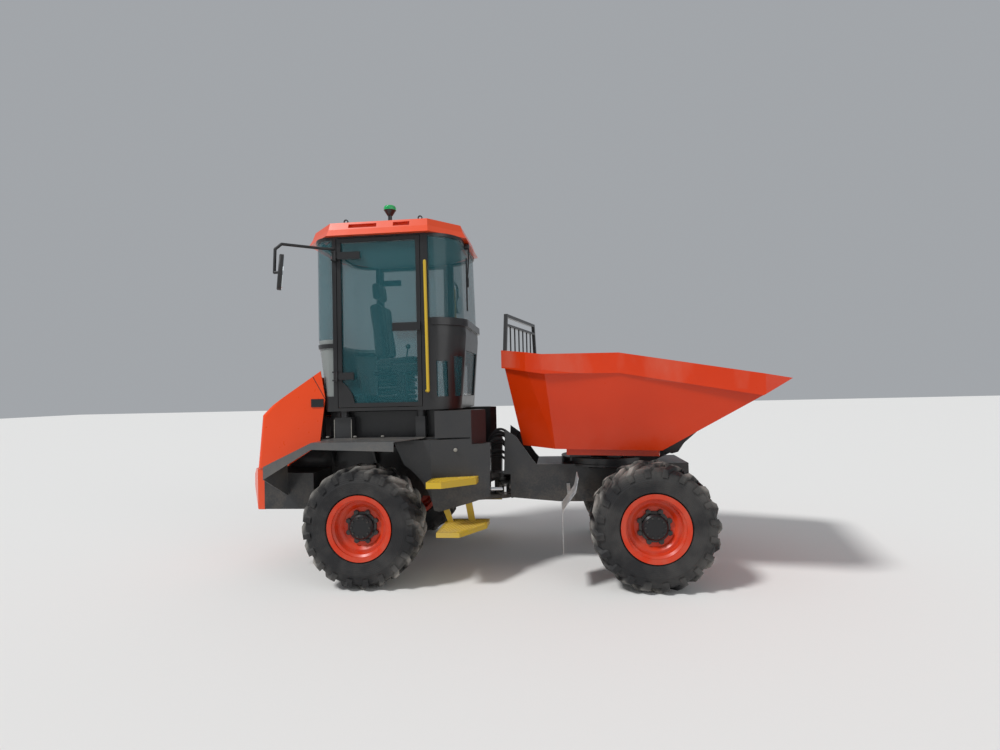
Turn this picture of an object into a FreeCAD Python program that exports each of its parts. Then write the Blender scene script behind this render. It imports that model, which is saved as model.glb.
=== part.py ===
import FreeCAD, Part
import math
import os

# Site dumper: an articulated swivel-skip dumper with an enclosed cab. Millimetres, +X forwards to the skip,
# +Y to the left, +Z up. The origin is on the ground, on the centreline, at the middle of the whole length.
# The rear frame carries engine, hood and cab; the front frame carries the turntable and the skip.

# Stations along X
WHEELBASE = 2456.0
REAR_AXLE_X = -1334.0
PIVOT_AHEAD = 1120.0
SWIVEL_BEHIND = 306.0
FRONT_AXLE_X = REAR_AXLE_X + WHEELBASE
PIVOT_X = REAR_AXLE_X + PIVOT_AHEAD
SWIVEL_X = FRONT_AXLE_X - SWIVEL_BEHIND

# Tyres; the heights below are given for axles at AXLE_Z, and another tyre radius lifts the whole machine
TRACK = 1820.0
TYRE_RADIUS = 520.0
AXLE_Z = 520.0
ARCH_GAP = 62.0
TYRE_WIDTH = 380.0
LUG_HEIGHT = 28.0
LUG_PITCHES = 20
LUG_BAR_WIDTH = 42.0
LUG_SWEEP_DEG = 17.0
BEAD_STEP = 38.0
SEAT_GAP = 0.3

# Rims and hubs
RIM_SEAT_RADIUS = 254.0
RIM_FLANGE_RADIUS = 280.0
RIM_PLATE = 12.0
DISC_OUT = 70.0
STUD_CIRCLE_RADIUS = 129.0
STUD_RADIUS = 11.0
STUD_COUNT = 8
HUB_RADIUS = 106.0
HUB_OUT = 128.0

# Axles
AXLE_HALF_LENGTH = 700.0
AXLE_TUBE_RADIUS = 75.0
AXLE_FLANGE_RADIUS = 130.0
AXLE_FLANGE = 20.0
DIFF_RADIUS = 170.0
SPINDLE_RADIUS = 45.0
AXLE_PAD = 180.0

# Clearances and plate gauges
RUNNING_GAP = 0.05
MOVING_GAP = 6.0
FRAME_PLATE = 20.0
SHEET = 5.0

# Rear frame, X from the rear axle
RAIL_OUTER = 230.0
RAIL_BOTTOM_Z = 640.0
RAIL_TOP_Z = 1120.0
RAIL_TAIL = -1060.0
RAIL_NOSE = 800.0
DECK_Z = 1245.0
DECK_PLATE = 15.0
DECK_HALF_WIDTH = 640.0
DECK_TAIL = -570.0
DECK_NOSE = 900.0
ENGINE_TAIL = -980.0
ENGINE_NOSE = -200.0
ENGINE_TOP_Z = 1430.0
TANK_INNER = 420.0
TANK_OUTER = 760.0
BUMPER_TAIL = -1258.0
BAY_WALL_OUTER = 480.0

# Articulation and oscillation
PIVOT_Z = 710.0
YOKE_RADIUS = 90.0
YOKE_PLATE = 40.0
YOKE_OPENING = 170.0
PIVOT_PIN_RADIUS = 35.0
KING_PIN_RADIUS = 60.0
KING_HOUSING_RADIUS = 95.0
KING_HOUSING_START = 110.0
KING_HOUSING_LENGTH = 330.0

# Front frame
FRONT_RAIL_OUTER = 330.0
FRONT_TOP_Z = 950.0
FRONT_BOTTOM_Z = 600.0
FRONT_NOSE_AHEAD = 430.0
RING_RADIUS = 430.0
RING_BORE_RADIUS = 375.0
RING_HEIGHT = 25.0

# Turntable and skip, X from the swivel axis; the skip stands swivelled to the right
SKIP_SWIVEL_DEG = -13.0
TURNTABLE_PLATE = 30.0
TURNTABLE_HOLE_RADIUS = 340.0
SKIP_FLOOR_Z = AXLE_Z + TYRE_RADIUS + 80.0
TIP_HINGE_X = 660.0
TIP_HINGE_Z = SKIP_FLOOR_Z - 30.0
REST_BEAM_Y = 300.0
REST_BEAM_REACH = 285.0
TIP_EAR_Y = 215.0
TIP_EAR_RADIUS = 42.0
TIP_EAR_WIDTH = 50.0
TIP_PIN_RADIUS = 22.0
SKIP_BRACKET_PLATE = 20.0
SKIP_WALL = 8.0
RIB_DEPTH = 58.0
SKIP_TAIL = -865.0
BAND_HEIGHT = 170.0
BAND_DEPTH = 44.0
BAND_STEP = 34.0
GUARD_TOP_Z = 2400.0
GUARD_BAR = 32.0
GUARD_HALF_WIDTH = 560.0
GUARD_TOP_HALF_WIDTH = 505.0
GUARD_RUNGS = 6

# Tip cylinder in the skip's upright middle plane, as (X from the swivel axis, Z)
TIP_BASE = (-230.0, 800.0)
TIP_EYE = (280.0, SKIP_FLOOR_Z - 70.0)
TIP_BARREL_RADIUS = 45.0
TIP_BARREL_LENGTH = 400.0
TIP_ROD_RADIUS = 25.0
TIP_ROD_START = 100.0
CYLINDER_EYE_RADIUS = 32.0
CYLINDER_PIN_RADIUS = 15.0
CYLINDER_EYE_WIDTH = 50.0
CYLINDER_CLOSED_END = 90.0

# Steering cylinder at the articulation's height, as (X from the pivot, Y)
STEER_BASE = (-620.0, -360.0)
STEER_EYE = (50.0, -255.0)
STEER_BARREL_RADIUS = 36.0
STEER_BARREL_LENGTH = 470.0
STEER_ROD_RADIUS = 18.0
STEER_ROD_START = 240.0

# Cab, X from the rear axle
CAB_HALF_WIDTH = 670.0
CAB_FLOOR_Z = 1500.0
CAB_WAIST_Z = 2190.0
CAB_TOP_Z = 3130.0
CAB_WALL = 50.0
CAB_FLOOR_PLATE = 25.0
CAB_SIDE_REAR = -420.0
CAB_SIDE_FRONT = 500.0
PILLAR_REAR_EDGE = -368.0
PILLAR_FRONT_EDGE = 540.0
FRONT_GLASS_BOTTOM_Z = 2345.0
WAIST_BAND = 24.0
WAIST_BAND_HEIGHT = 68.0
REAR_GLASS_BOTTOM_Z = 2130.0
UPPER_GLASS_TOP_Z = 3100.0
ROOF_FOLD_Z = 3192.0
ROOF_TOP_Z = 3262.0
BEACON_AT = (161.0, -550.0)
BEACON_FOOT = 128.0
GLASS_INSET = 12.0
GLASS = 6.0

# Doors
DOOR_REAR = -330.0
DOOR_FRONT = 473.0
DOOR_BOTTOM_Z = 1530.0
DOOR_TOP_Z = 3115.0
DOOR_RAIL = 38.0
HINGE_OUT = 28.0
HINGE_PIN_RADIUS = 8.0
HINGE_KNUCKLE_RADIUS = 15.0
HINGE_HALF_HEIGHT = 30.0
STRAP_HALF_HEIGHT = 33.0
# hinge: height, length of its strap along the door
HINGES = [(2945.0, 240.0), (1825.0, 165.0)]

# Steering wheel: its centre as (X from the rear axle, Z)
STEERING_CENTRE = (480.0, 2330.0)
STEERING_TILT_DEG = 28.0
STEERING_RADIUS = 190.0
COLUMN_RADIUS = 16.0

# Hood, X from the rear axle
HOOD_HALF_WIDTH = 655.0
HOOD_WALL = 8.0
HOOD_EDGE_RADIUS = 45.0
HOOD_HINGE_X = -600.0
HOOD_HINGE_Z = 1775.0
HOOD_BOTTOM_Z = 980.0
HOOD_HINGE_Y = 420.0
HOOD_PIN_RADIUS = 9.0
HOOD_EAR_RADIUS = 16.0

VECTOR = FreeCAD.Vector
ORIGIN = VECTOR(0, 0, 0)
X_AXIS = VECTOR(1, 0, 0)
Y_AXIS = VECTOR(0, 1, 0)
Z_AXIS = VECTOR(0, 0, 1)


def box(x0, x1, y0, y1, z0, z1):
    return Part.makeBox(x1 - x0, y1 - y0, z1 - z0, VECTOR(x0, y0, z0))


def polygon_face(points):
    return Part.Face(Part.makePolygon(points + [points[0]]))


def plate_xz(outline, y0, y1):
    """A plate with an outline of (x, z) points, between two Y faces."""
    face = polygon_face([VECTOR(x, y0, z) for x, z in outline])
    return face.extrude(VECTOR(0, y1 - y0, 0))


def plate_xy(outline, z0, z1):
    """A plate with an outline of (x, y) points, between two Z faces."""
    face = polygon_face([VECTOR(x, y, z0) for x, y in outline])
    return face.extrude(VECTOR(0, 0, z1 - z0))


def plate_yz(outline, x0, x1):
    """A plate with an outline of (y, z) points, between two X faces."""
    face = polygon_face([VECTOR(x0, y, z) for y, z in outline])
    return face.extrude(VECTOR(x1 - x0, 0, 0))


def cylinder_x(radius, x0, x1, y, z):
    return Part.makeCylinder(radius, x1 - x0, VECTOR(x0, y, z), X_AXIS)


def cylinder_y(radius, y0, y1, x, z):
    return Part.makeCylinder(radius, y1 - y0, VECTOR(x, y0, z), Y_AXIS)


def cylinder_z(radius, z0, z1, x, y):
    return Part.makeCylinder(radius, z1 - z0, VECTOR(x, y, z0), Z_AXIS)


def rod(start, end, radius):
    """A round bar between two points."""
    run = end.sub(start)
    return Part.makeCylinder(radius, run.Length, start, run)


def rod_chain(points, radius):
    """Round bars along a path, with a ball at each inner corner."""
    points = [VECTOR(*p) for p in points]
    pieces = [rod(a, b, radius) for a, b in zip(points, points[1:])]
    pieces += [Part.makeSphere(radius, p) for p in points[1:-1]]
    return fused(pieces)


def fused(pieces):
    if len(pieces) == 1:
        return pieces[0]
    return pieces[0].multiFuse(pieces[1:]).removeSplitter()


def mirrored(shape):
    """The same piece on the other side of the centreline."""
    return shape.mirror(ORIGIN, Y_AXIS)


def both_sides(shape):
    return Part.makeCompound([shape, mirrored(shape)])


def closed_solid(faces):
    solid = Part.Solid(Part.makeShell(faces))
    return solid if solid.Volume > 0 else solid.reversed()


def moved(shape, x, y=0.0, z=0.0):
    copy = shape.copy()
    copy.translate(VECTOR(x, y, z))
    return copy


def swivelled(shape):
    """Bring a piece modelled from the swivel's axis to where the skip stands."""
    turned = moved(shape, SWIVEL_X)
    turned.rotate(VECTOR(SWIVEL_X, 0, 0), Z_AXIS, SKIP_SWIVEL_DEG)
    return turned


def from_rear(shape):
    return moved(shape, REAR_AXLE_X)


def save(name, shape):
    """Export a piece; the tyres' radius says how far above the drawn heights it stands."""
    moved(shape, 0, 0, TYRE_RADIUS - AXLE_Z).exportStep("parts/" + name + ".step")


# Wheels, modelled about the Y axis with the outer face towards -Y


def carcass():
    """The tyre without lugs: flats between polygon rings."""
    half = TYRE_WIDTH / 2
    crown = TYRE_RADIUS - LUG_HEIGHT
    flats = 2 * LUG_PITCHES
    step = 2 * math.pi / flats
    bead = half - BEAD_STEP - SEAT_GAP
    # ring: radius, distance from the middle plane
    rings = [
        ((RIM_SEAT_RADIUS + SEAT_GAP) / math.cos(step / 2), bead),
        (RIM_FLANGE_RADIUS + 4, bead),
        (RIM_FLANGE_RADIUS + 14, half - 10),
        (RIM_FLANGE_RADIUS + 110, half),
        (crown - 30, half - 14),
        (crown - 4, half - 55),
    ]
    profile = rings + [(r, -y) for r, y in reversed(rings)]
    loops = []
    for k in range(flats):
        c, s = math.cos(k * step), math.sin(k * step)
        loops.append([VECTOR(r * c, y, r * s) for r, y in profile])
    faces = []
    for here, there in zip(loops, loops[1:] + loops[:1]):
        for i in range(len(profile)):
            j = (i + 1) % len(profile)
            faces.append(polygon_face([here[i], here[j], there[j], there[i]]))
    return closed_solid(faces)


def lug(side, turn_deg):
    """One bar of the tread from the middle to the shoulder, swept back along the tyre."""
    half = TYRE_WIDTH / 2
    crown = TYRE_RADIUS - LUG_HEIGHT
    half_bar = math.degrees(LUG_BAR_WIDTH / 2 / TYRE_RADIUS)
    root_spread = 1.35
    # station: distance from the middle plane, top radius, root radius, share of the sweep
    stations = [
        (-8, TYRE_RADIUS, crown - 12, 0.0),
        (half - 62, TYRE_RADIUS, crown - 16, 0.62),
        (half + 4, crown - 8, crown - 72, 1.0),
    ]
    sections = []
    for y, top, root, share in stations:
        middle = turn_deg + share * LUG_SWEEP_DEG
        corners = []
        for radius, spread in ((root, -root_spread), (root, root_spread), (top, 1), (top, -1)):
            a = math.radians(middle + spread * half_bar)
            corners.append(VECTOR(radius * math.cos(a), side * y, radius * math.sin(a)))
        sections.append(corners)
    faces = []
    for ring in (sections[0], sections[-1]):
        faces.append(polygon_face([ring[0], ring[1], ring[2]]))
        faces.append(polygon_face([ring[0], ring[2], ring[3]]))
    for a, b in zip(sections, sections[1:]):
        for i in range(4):
            j = (i + 1) % 4
            faces.append(polygon_face([a[i], a[j], b[j]]))
            faces.append(polygon_face([a[i], b[j], b[i]]))
    return closed_solid(faces)


def tyre():
    pitch = 360.0 / LUG_PITCHES
    lugs = []
    for k in range(LUG_PITCHES):
        lugs.append(lug(1, k * pitch))
        lugs.append(lug(-1, (k + 0.5) * pitch))
    return carcass().multiFuse(lugs)


def wheel():
    """Rim with its stepped disc, hub drum behind, hub cap and wheel nuts in front."""
    seat_half = TYRE_WIDTH / 2 - BEAD_STEP
    bore = SPINDLE_RADIUS + RUNNING_GAP
    disc = -DISC_OUT
    disc_edge = STUD_CIRCLE_RADIUS + 35
    well = RIM_SEAT_RADIUS - RIM_PLATE
    # profile: radius, distance along the axis, round the plate's section
    profile = [
        (bore, disc),
        (disc_edge, disc),
        (disc_edge + 30, disc - 26),
        (well - 26, disc - 26),
        (well - 18, 14 - seat_half),
        (well, -seat_half),
        (well, -seat_half - 18),
        (RIM_FLANGE_RADIUS, -seat_half - 24),
        (RIM_FLANGE_RADIUS, -seat_half - 4),
        (RIM_SEAT_RADIUS, -seat_half),
        (RIM_SEAT_RADIUS, seat_half),
        (RIM_FLANGE_RADIUS, seat_half + 4),
        (RIM_FLANGE_RADIUS, seat_half + 16),
        (well, seat_half + 8),
        (well, disc + 20),
        (well - 22, disc - 14),
        (disc_edge + 35, disc - 14),
        (disc_edge + 5, disc + RIM_PLATE),
        (bore, disc + RIM_PLATE),
    ]
    rim = polygon_face([VECTOR(r, y, 0) for r, y in profile]).revolve(ORIGIN, Y_AXIS, 360)
    drum_end = TRACK / 2 - AXLE_HALF_LENGTH - MOVING_GAP
    drum = cylinder_y(HUB_RADIUS, disc + RIM_PLATE, drum_end, 0, 0)
    drum = drum.cut(cylinder_y(bore, disc, drum_end, 0, 0))
    cap = cylinder_y(HUB_RADIUS, -HUB_OUT, disc, 0, 0)
    cap = cap.makeChamfer(14, [e for e in cap.Edges if e.BoundBox.YMax < 1 - HUB_OUT])
    nuts = []
    for k in range(STUD_COUNT):
        a = 2 * math.pi * (k + 0.5) / STUD_COUNT
        x, z = STUD_CIRCLE_RADIUS * math.cos(a), STUD_CIRCLE_RADIUS * math.sin(a)
        nuts.append(cylinder_y(STUD_RADIUS, disc - 22, disc, x, z))
    return fused([rim, drum, cap] + nuts)


def make_wheels():
    shapes = {"tyre": tyre(), "wheel": wheel()}
    for end, x in (("front", FRONT_AXLE_X), ("rear", REAR_AXLE_X)):
        for name, shape in shapes.items():
            right = moved(shape, x, -TRACK / 2, AXLE_Z)
            save(name + "_" + end + "_right", right)
            save(name + "_" + end + "_left", mirrored(right))


def axle(x, pad_inner, pad_top_z):
    """Axle beam with differential housing, end flanges, wheel spindles and two mounting pads."""
    end = AXLE_HALF_LENGTH
    spindle_end = TRACK / 2 + DISC_OUT - RIM_PLATE - 10
    half = [
        cylinder_y(AXLE_TUBE_RADIUS, -end + AXLE_FLANGE, 0, x, AXLE_Z),
        cylinder_y(AXLE_FLANGE_RADIUS, -end, -end + AXLE_FLANGE, x, AXLE_Z),
        cylinder_y(SPINDLE_RADIUS, -spindle_end, -end, x, AXLE_Z),
        box(x - AXLE_PAD / 2, x + AXLE_PAD / 2, -pad_inner - 50, -pad_inner, AXLE_Z, pad_top_z),
    ]
    housing = Part.makeSphere(DIFF_RADIUS, VECTOR(x, 0, AXLE_Z))
    return fused([housing] + half + [mirrored(piece) for piece in half])


# Rear frame


def deck_posts():
    """Gussets from the rails out to the deck; the front one ends short of the side tanks."""
    posts = []
    low = RAIL_TOP_Z - 200
    under_deck = DECK_Z - DECK_PLATE
    inner = RAIL_OUTER - FRAME_PLATE
    # gusset: X of its plate, how far out it reaches
    for x, reach in ((DECK_TAIL + 20, 600), (ENGINE_NOSE + 80, 600), (RAIL_NOSE - 60, TANK_INNER - 10)):
        outline = [(inner, low), (RAIL_OUTER, low), (reach - 190, under_deck - 60),
                   (reach, under_deck - 60),
                   (reach, under_deck), (inner, under_deck)]
        posts.append(plate_yz(outline, x, x + FRAME_PLATE))
    return posts


def rear_chassis():
    inner = RAIL_OUTER - FRAME_PLATE
    rail = box(RAIL_TAIL, RAIL_NOSE, inner, RAIL_OUTER, RAIL_BOTTOM_Z, RAIL_TOP_Z)
    deck = box(DECK_TAIL, DECK_NOSE, -DECK_HALF_WIDTH, DECK_HALF_WIDTH, DECK_Z - DECK_PLATE, DECK_Z)
    well = box(DECK_TAIL, ENGINE_NOSE + 50, -300, 300, DECK_Z - DECK_PLATE, DECK_Z)
    pieces = [rail, mirrored(rail), deck.cut(well)]
    for x in (RAIL_TAIL, RAIL_NOSE - FRAME_PLATE):
        pieces.append(box(x, x + FRAME_PLATE, -inner, inner, RAIL_BOTTOM_Z, RAIL_TOP_Z))
    for post in deck_posts():
        pieces += [post, mirrored(post)]
    # Walls between the hood and the tanks' boxes close the engine's bay under the cab
    bay = box(DECK_TAIL + 90, 590, BAY_WALL_OUTER - SHEET, BAY_WALL_OUTER, DECK_Z, CAB_FLOOR_Z - 12)
    pieces += [bay, mirrored(bay)]
    # Yoke plates that narrow to the vertical articulation pin
    for z in (PIVOT_Z - YOKE_OPENING / 2 - YOKE_PLATE, PIVOT_Z + YOKE_OPENING / 2):
        half = [(RAIL_NOSE - 200, inner), (RAIL_NOSE, inner), (PIVOT_AHEAD - 20, YOKE_RADIUS)]
        outline = half + [(x, -y) for x, y in reversed(half)]
        pieces.append(plate_xy(outline, z, z + YOKE_PLATE))
        pieces.append(cylinder_z(YOKE_RADIUS, z, z + YOKE_PLATE, PIVOT_AHEAD, 0))
    # Lugs for the steering cylinder's base pin, with the pin
    base_x, base_y = PIVOT_AHEAD + STEER_BASE[0], STEER_BASE[1]
    gap = STEER_BARREL_RADIUS + MOVING_GAP
    for z in (PIVOT_Z - gap - FRAME_PLATE, PIVOT_Z + gap):
        pieces.append(box(base_x - 40, base_x + 40, base_y - 40, -RAIL_OUTER, z, z + FRAME_PLATE))
    pin = cylinder_z(CYLINDER_PIN_RADIUS, PIVOT_Z - gap, PIVOT_Z + gap, base_x, base_y)
    bore = cylinder_z(PIVOT_PIN_RADIUS, PIVOT_Z - YOKE_OPENING, PIVOT_Z + YOKE_OPENING, PIVOT_AHEAD, 0)
    pieces += [pin] + cab_mounts() + hood_support()
    return from_rear(fused(pieces).cut(bore))


def bumper_block():
    """Counterweight behind the frame, with two sloping faces and its corners cut back."""
    top = HOOD_BOTTOM_Z - 8
    profile = [(-1190, top), (BUMPER_TAIL, 905), (BUMPER_TAIL, 790), (-1128, 595), (RAIL_TAIL, 595),
               (RAIL_TAIL, top)]
    block = plate_xz(profile, -640, 640)
    corner = plate_xy([(BUMPER_TAIL - 90, 470), (BUMPER_TAIL, 470), (-1090, 700),
                       (BUMPER_TAIL - 90, 700)], 500, 1000)
    return block.cut(corner).cut(mirrored(corner))


def rear_lamps():
    lamp = cylinder_x(48, BUMPER_TAIL - 5, BUMPER_TAIL + 20, -395, 848).cut(bumper_block())
    return both_sides(from_rear(lamp))


def engine_block():
    half = RAIL_OUTER - FRAME_PLATE
    return from_rear(box(ENGINE_TAIL, ENGINE_NOSE, -half, half, 760, ENGINE_TOP_Z))


def mudguards():
    """A bent plate over each rear wheel, with a turned-down outer face and rear plate."""
    inner_hood = HOOD_HALF_WIDTH + 10
    inner_deck = DECK_HALF_WIDTH - 20
    outer = TRACK / 2 + TYRE_WIDTH / 2
    slope = [(-830, 1051), (-400, DECK_Z + SHEET), (-398, DECK_Z), (-828, 1046)]
    face = [(-830, 1051), (-400, DECK_Z + SHEET), (320, DECK_Z + SHEET), (318, 1166), (-399, 1192),
            (-832, 940)]
    rear = [(-outer, 1049), (-inner_hood, 1049), (-inner_hood, 730), (-outer, 940)]
    flat = [(-401, -outer), (320, -outer), (488, -750), (488, -inner_deck), (-401, -inner_deck)]
    guard = fused([
        plate_xz(slope, -outer, -inner_hood),
        plate_xz(face, -outer, -outer + SHEET),
        plate_yz(rear, -832, -832 + SHEET),
        plate_xy(flat, DECK_Z, DECK_Z + SHEET),
    ])
    return both_sides(from_rear(guard))


def tank():
    """Tank beside the frame with a box on it up to the cab's floor, its outer face running inwards."""
    top = DECK_Z - DECK_PLATE
    front = 1075
    body = plate_xz([(215, top), (front, top), (front - 15, 700), (900, 655), (620, 590), (480, 640)],
                    -TANK_OUTER, -TANK_INNER)
    upper = plate_xz([(595, DECK_Z), (595, CAB_FLOOR_Z - 12), (front, CAB_FLOOR_Z - 12), (front, top),
                      (DECK_NOSE, top), (DECK_NOSE, DECK_Z)], -TANK_OUTER, -TANK_INNER)
    arch = cylinder_y(TYRE_RADIUS + ARCH_GAP, -800, -400, 0, AXLE_Z)
    corner = plate_xy([(960, -TANK_INNER), (1100, -TANK_INNER - 110), (1100, -TANK_INNER)], 500, 1600)
    taper = plate_xy([(560, -800), (560, -TANK_OUTER), (1080, -600), (1080, -800)], 500, 1600)
    # Room for the skip's corner when the frames are folded and it is swung to the side
    passing = plate_xy([(1035, -440), (895, -680), (895, -900), (1200, -900), (1200, -440)], 1180, 1600)
    return fused([body.cut(arch), upper]).cut(taper).cut(corner).cut(passing)


def tool_box():
    """Box behind the rear wheel, under the mudguard's slope."""
    return box(RAIL_TAIL + 2, DECK_TAIL - 10, -HOOD_HALF_WIDTH - 5, -RAIL_OUTER, 602, 935)


def steps():
    """Two treads each side under the door: the upper on the tank, the lower hung from it."""
    carrier = tank()
    upper = plate_xy([(565, -1000), (697, -1000), (965, -770), (965, -620), (565, -740)], 838, 892)
    lower = plate_xy([(665, -1090), (860, -1090), (1050, -770), (1050, -560), (665, -560)], 450, 490)
    struts = [
        plate_xz([(610, 700), (670, 700), (740, 490), (690, 490)], -700, -680),
        plate_xz([(830, 720), (890, 720), (930, 490), (870, 490)], -650, -630),
    ]
    hung = fused([lower] + struts).cut(carrier)
    return Part.makeCompound([both_sides(from_rear(upper.cut(carrier))), both_sides(from_rear(hung))])


# Cab


def cab_section(z, front, rear, inset):
    """One level of the cab's plan: flat sides, and corners that curve to a flat front and rear."""
    half = CAB_HALF_WIDTH
    front_flat, rear_flat, bulge = 400.0, 430.0, 0.17

    def corner(a, b):
        chord = b.sub(a)
        outward = VECTOR(chord.y, -chord.x, 0).multiply(bulge)
        return Part.Arc(a, (a + b).multiply(0.5) + outward, b).toShape()

    right_rear = VECTOR(CAB_SIDE_REAR, -half, z)
    right_front = VECTOR(CAB_SIDE_FRONT, -half, z)
    front_right, front_left = VECTOR(front, -front_flat, z), VECTOR(front, front_flat, z)
    left_front, left_rear = VECTOR(CAB_SIDE_FRONT, half, z), VECTOR(CAB_SIDE_REAR, half, z)
    rear_left, rear_right = VECTOR(rear, rear_flat, z), VECTOR(rear, -rear_flat, z)
    wire = Part.Wire([
        Part.makeLine(right_rear, right_front),
        corner(right_front, front_right),
        Part.makeLine(front_right, front_left),
        corner(front_left, left_front),
        Part.makeLine(left_front, left_rear),
        corner(left_rear, rear_left),
        Part.makeLine(rear_left, rear_right),
        corner(rear_right, right_rear),
    ])
    return wire.makeOffset2D(-inset) if inset else wire


def cab_volume(inset):
    # level: height, front, rear
    levels = [(CAB_FLOOR_Z, 785, -475), (CAB_WAIST_Z, 840, -602), (CAB_TOP_Z, 818, -600)]
    wires = [cab_section(z, front, rear, inset) for z, front, rear in levels]
    return Part.makeLoft(wires, True, True)


def cab_windows():
    """Boxes that cut the fixed windows at each end of the cab."""
    far = 1200
    corner_y = 310
    front = [box(PILLAR_FRONT_EDGE, far, -far, far, FRONT_GLASS_BOTTOM_Z, UPPER_GLASS_TOP_Z),
             box(700, far, -330, 330, 1618, 2060)]
    rear = [box(-far, PILLAR_REAR_EDGE, -far, far, REAR_GLASS_BOTTOM_Z, UPPER_GLASS_TOP_Z)]
    for side in (-1, 1):
        y0, y1 = sorted((side * corner_y, side * far))
        front.append(box(600, 695, y0, y1, 1618, 1945))
        corner0, corner1 = sorted((side * 428, side * far))
        front.append(box(745, far, corner0, corner1, 1618, 1990))
        rear.append(box(-far, PILLAR_REAR_EDGE, y0, y1, 1640, 2090))
    return {"front_glass": front, "rear_glass": rear}


def door_hinge(z):
    """The frame's half of a door hinge on the right side: two ears and a pin."""
    x, y = DOOR_REAR, -CAB_HALF_WIDTH - HINGE_OUT
    ears = []
    for low in (z - HINGE_HALF_HEIGHT - 15, z + HINGE_HALF_HEIGHT + 1):
        ears.append(box(PILLAR_REAR_EDGE + 5, x, y - HINGE_KNUCKLE_RADIUS, -CAB_HALF_WIDTH, low,
                        low + 14))
        ears.append(cylinder_z(HINGE_KNUCKLE_RADIUS, low, low + 14, x, y))
    pin = cylinder_z(HINGE_PIN_RADIUS, z - HINGE_HALF_HEIGHT - 15, z + HINGE_HALF_HEIGHT + 15, x, y)
    return ears + [pin]


def waist_band(inner):
    """The proud moulding under the windscreen, round the front of the cab."""
    low = FRONT_GLASS_BOTTOM_Z - WAIST_BAND_HEIGHT
    zone = box(PILLAR_FRONT_EDGE + 30, 1200, -900, 900, low, FRONT_GLASS_BOTTOM_Z)
    return cab_volume(-WAIST_BAND).cut(inner).common(zone)


def cab_frame(outer, inner):
    """Pillars, roof ring, waist and lower panels, with the fixed windows and doorways cut."""
    shell = outer.cut(inner).fuse(waist_band(inner))
    for boxes in cab_windows().values():
        for window in boxes:
            shell = shell.cut(window)
    doorway = box(DOOR_REAR, DOOR_FRONT, -800, 800, DOOR_BOTTOM_Z, DOOR_TOP_Z)
    shell = shell.cut(doorway)
    hinges = [piece for z, strap in HINGES for piece in door_hinge(z)]
    return fused([shell] + hinges + [mirrored(piece) for piece in hinges])


def cab_roof():
    """Long octagon with a flared brim under a steeper edge, and two deep slots each side."""
    rear, front, half_width, corner = -710, 862, 720, 400

    def octagon(inset):
        half = [(rear + inset, corner - inset * 0.4), (-400 + inset * 0.3, half_width - inset),
                (560 - inset * 0.3, half_width - inset), (front - inset, corner - inset * 0.4)]
        return half + [(x, -y) for x, y in reversed(half)]

    wires = []
    for z, outline in ((CAB_TOP_Z, octagon(0)), (ROOF_FOLD_Z, octagon(34)), (ROOF_TOP_Z, octagon(58))):
        points = [VECTOR(x, y, z) for x, y in outline]
        wires.append(Part.makePolygon(points + points[:1]))
    roof = Part.makeLoft(wires, True, True)
    slot_depth = 95
    for x0, x1 in ((-203, 66), (223, 378)):
        slot = box(x0, x1, -half_width, -half_width + slot_depth, ROOF_FOLD_Z + 12, ROOF_FOLD_Z + 50)
        roof = roof.cut(slot).cut(mirrored(slot))
    return from_rear(roof)


def roof_fittings():
    """Lifting eyes and the beacon's stalk and collar; the dome is a piece of its own."""
    pieces = []
    for x in (-252, 463):
        foot = cylinder_z(20, ROOF_TOP_Z, ROOF_TOP_Z + 6, x, -600)
        ring = cylinder_y(23, -605, -595, x, ROOF_TOP_Z + 26)
        eye = fused([foot, ring]).cut(cylinder_y(13, -610, -590, x, ROOF_TOP_Z + 26))
        pieces += [eye, mirrored(eye)]
    stalk = cylinder_z(19, ROOF_TOP_Z, ROOF_TOP_Z + 80, *BEACON_AT)
    collar = Part.makeCone(26, 56, BEACON_FOOT - 80, VECTOR(*BEACON_AT, ROOF_TOP_Z + 80))
    return from_rear(Part.makeCompound(pieces + [fused([stalk, collar])]))


def beacon_dome():
    top = ROOF_TOP_Z + 172
    dome = cylinder_z(58, ROOF_TOP_Z + BEACON_FOOT, top, *BEACON_AT)
    return from_rear(dome.makeFillet(24, [e for e in dome.Edges if e.BoundBox.ZMin > top - 1]))


def cab_mounts():
    """Four pedestals with round blocks between deck and cab floor."""
    posts = []
    for x, half_length in ((-310, 80), (430, 45)):
        pedestal = box(x - half_length, x + half_length, -605, -515, DECK_Z, CAB_FLOOR_Z - 60)
        block = cylinder_z(40, CAB_FLOOR_Z - 60, CAB_FLOOR_Z, x, -560)
        posts += [pedestal, block, mirrored(pedestal), mirrored(block)]
    return posts


def seat():
    """Cushion and high back with a headrest, on a narrow pedestal."""
    floor = CAB_FLOOR_Z + CAB_FLOOR_PLATE
    base = plate_xz([(-120, floor), (240, floor), (200, floor + 380), (-90, floor + 380)], -170, 170)
    cushion = plate_xz([(-150, floor + 380), (330, floor + 380), (345, floor + 470), (320, floor + 520),
                        (-120, floor + 490)], -250, 250)
    back = plate_xz([(-140, floor + 480), (-20, floor + 480), (-80, floor + 1080), (-170, floor + 1090)],
                    -235, 235)
    head = plate_xz([(-165, floor + 1090), (-85, floor + 1080), (-105, floor + 1300),
                     (-175, floor + 1300)],
                    -150, 150)
    return from_rear(fused([base, cushion, back, head]))


def along_column(shape):
    """Bring a piece modelled about Z at the origin onto the steering column, tilted towards the seat."""
    placed = shape.copy()
    placed.rotate(ORIGIN, Y_AXIS, -STEERING_TILT_DEG)
    placed.translate(VECTOR(REAR_AXLE_X + STEERING_CENTRE[0], 0, STEERING_CENTRE[1]))
    return placed


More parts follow.
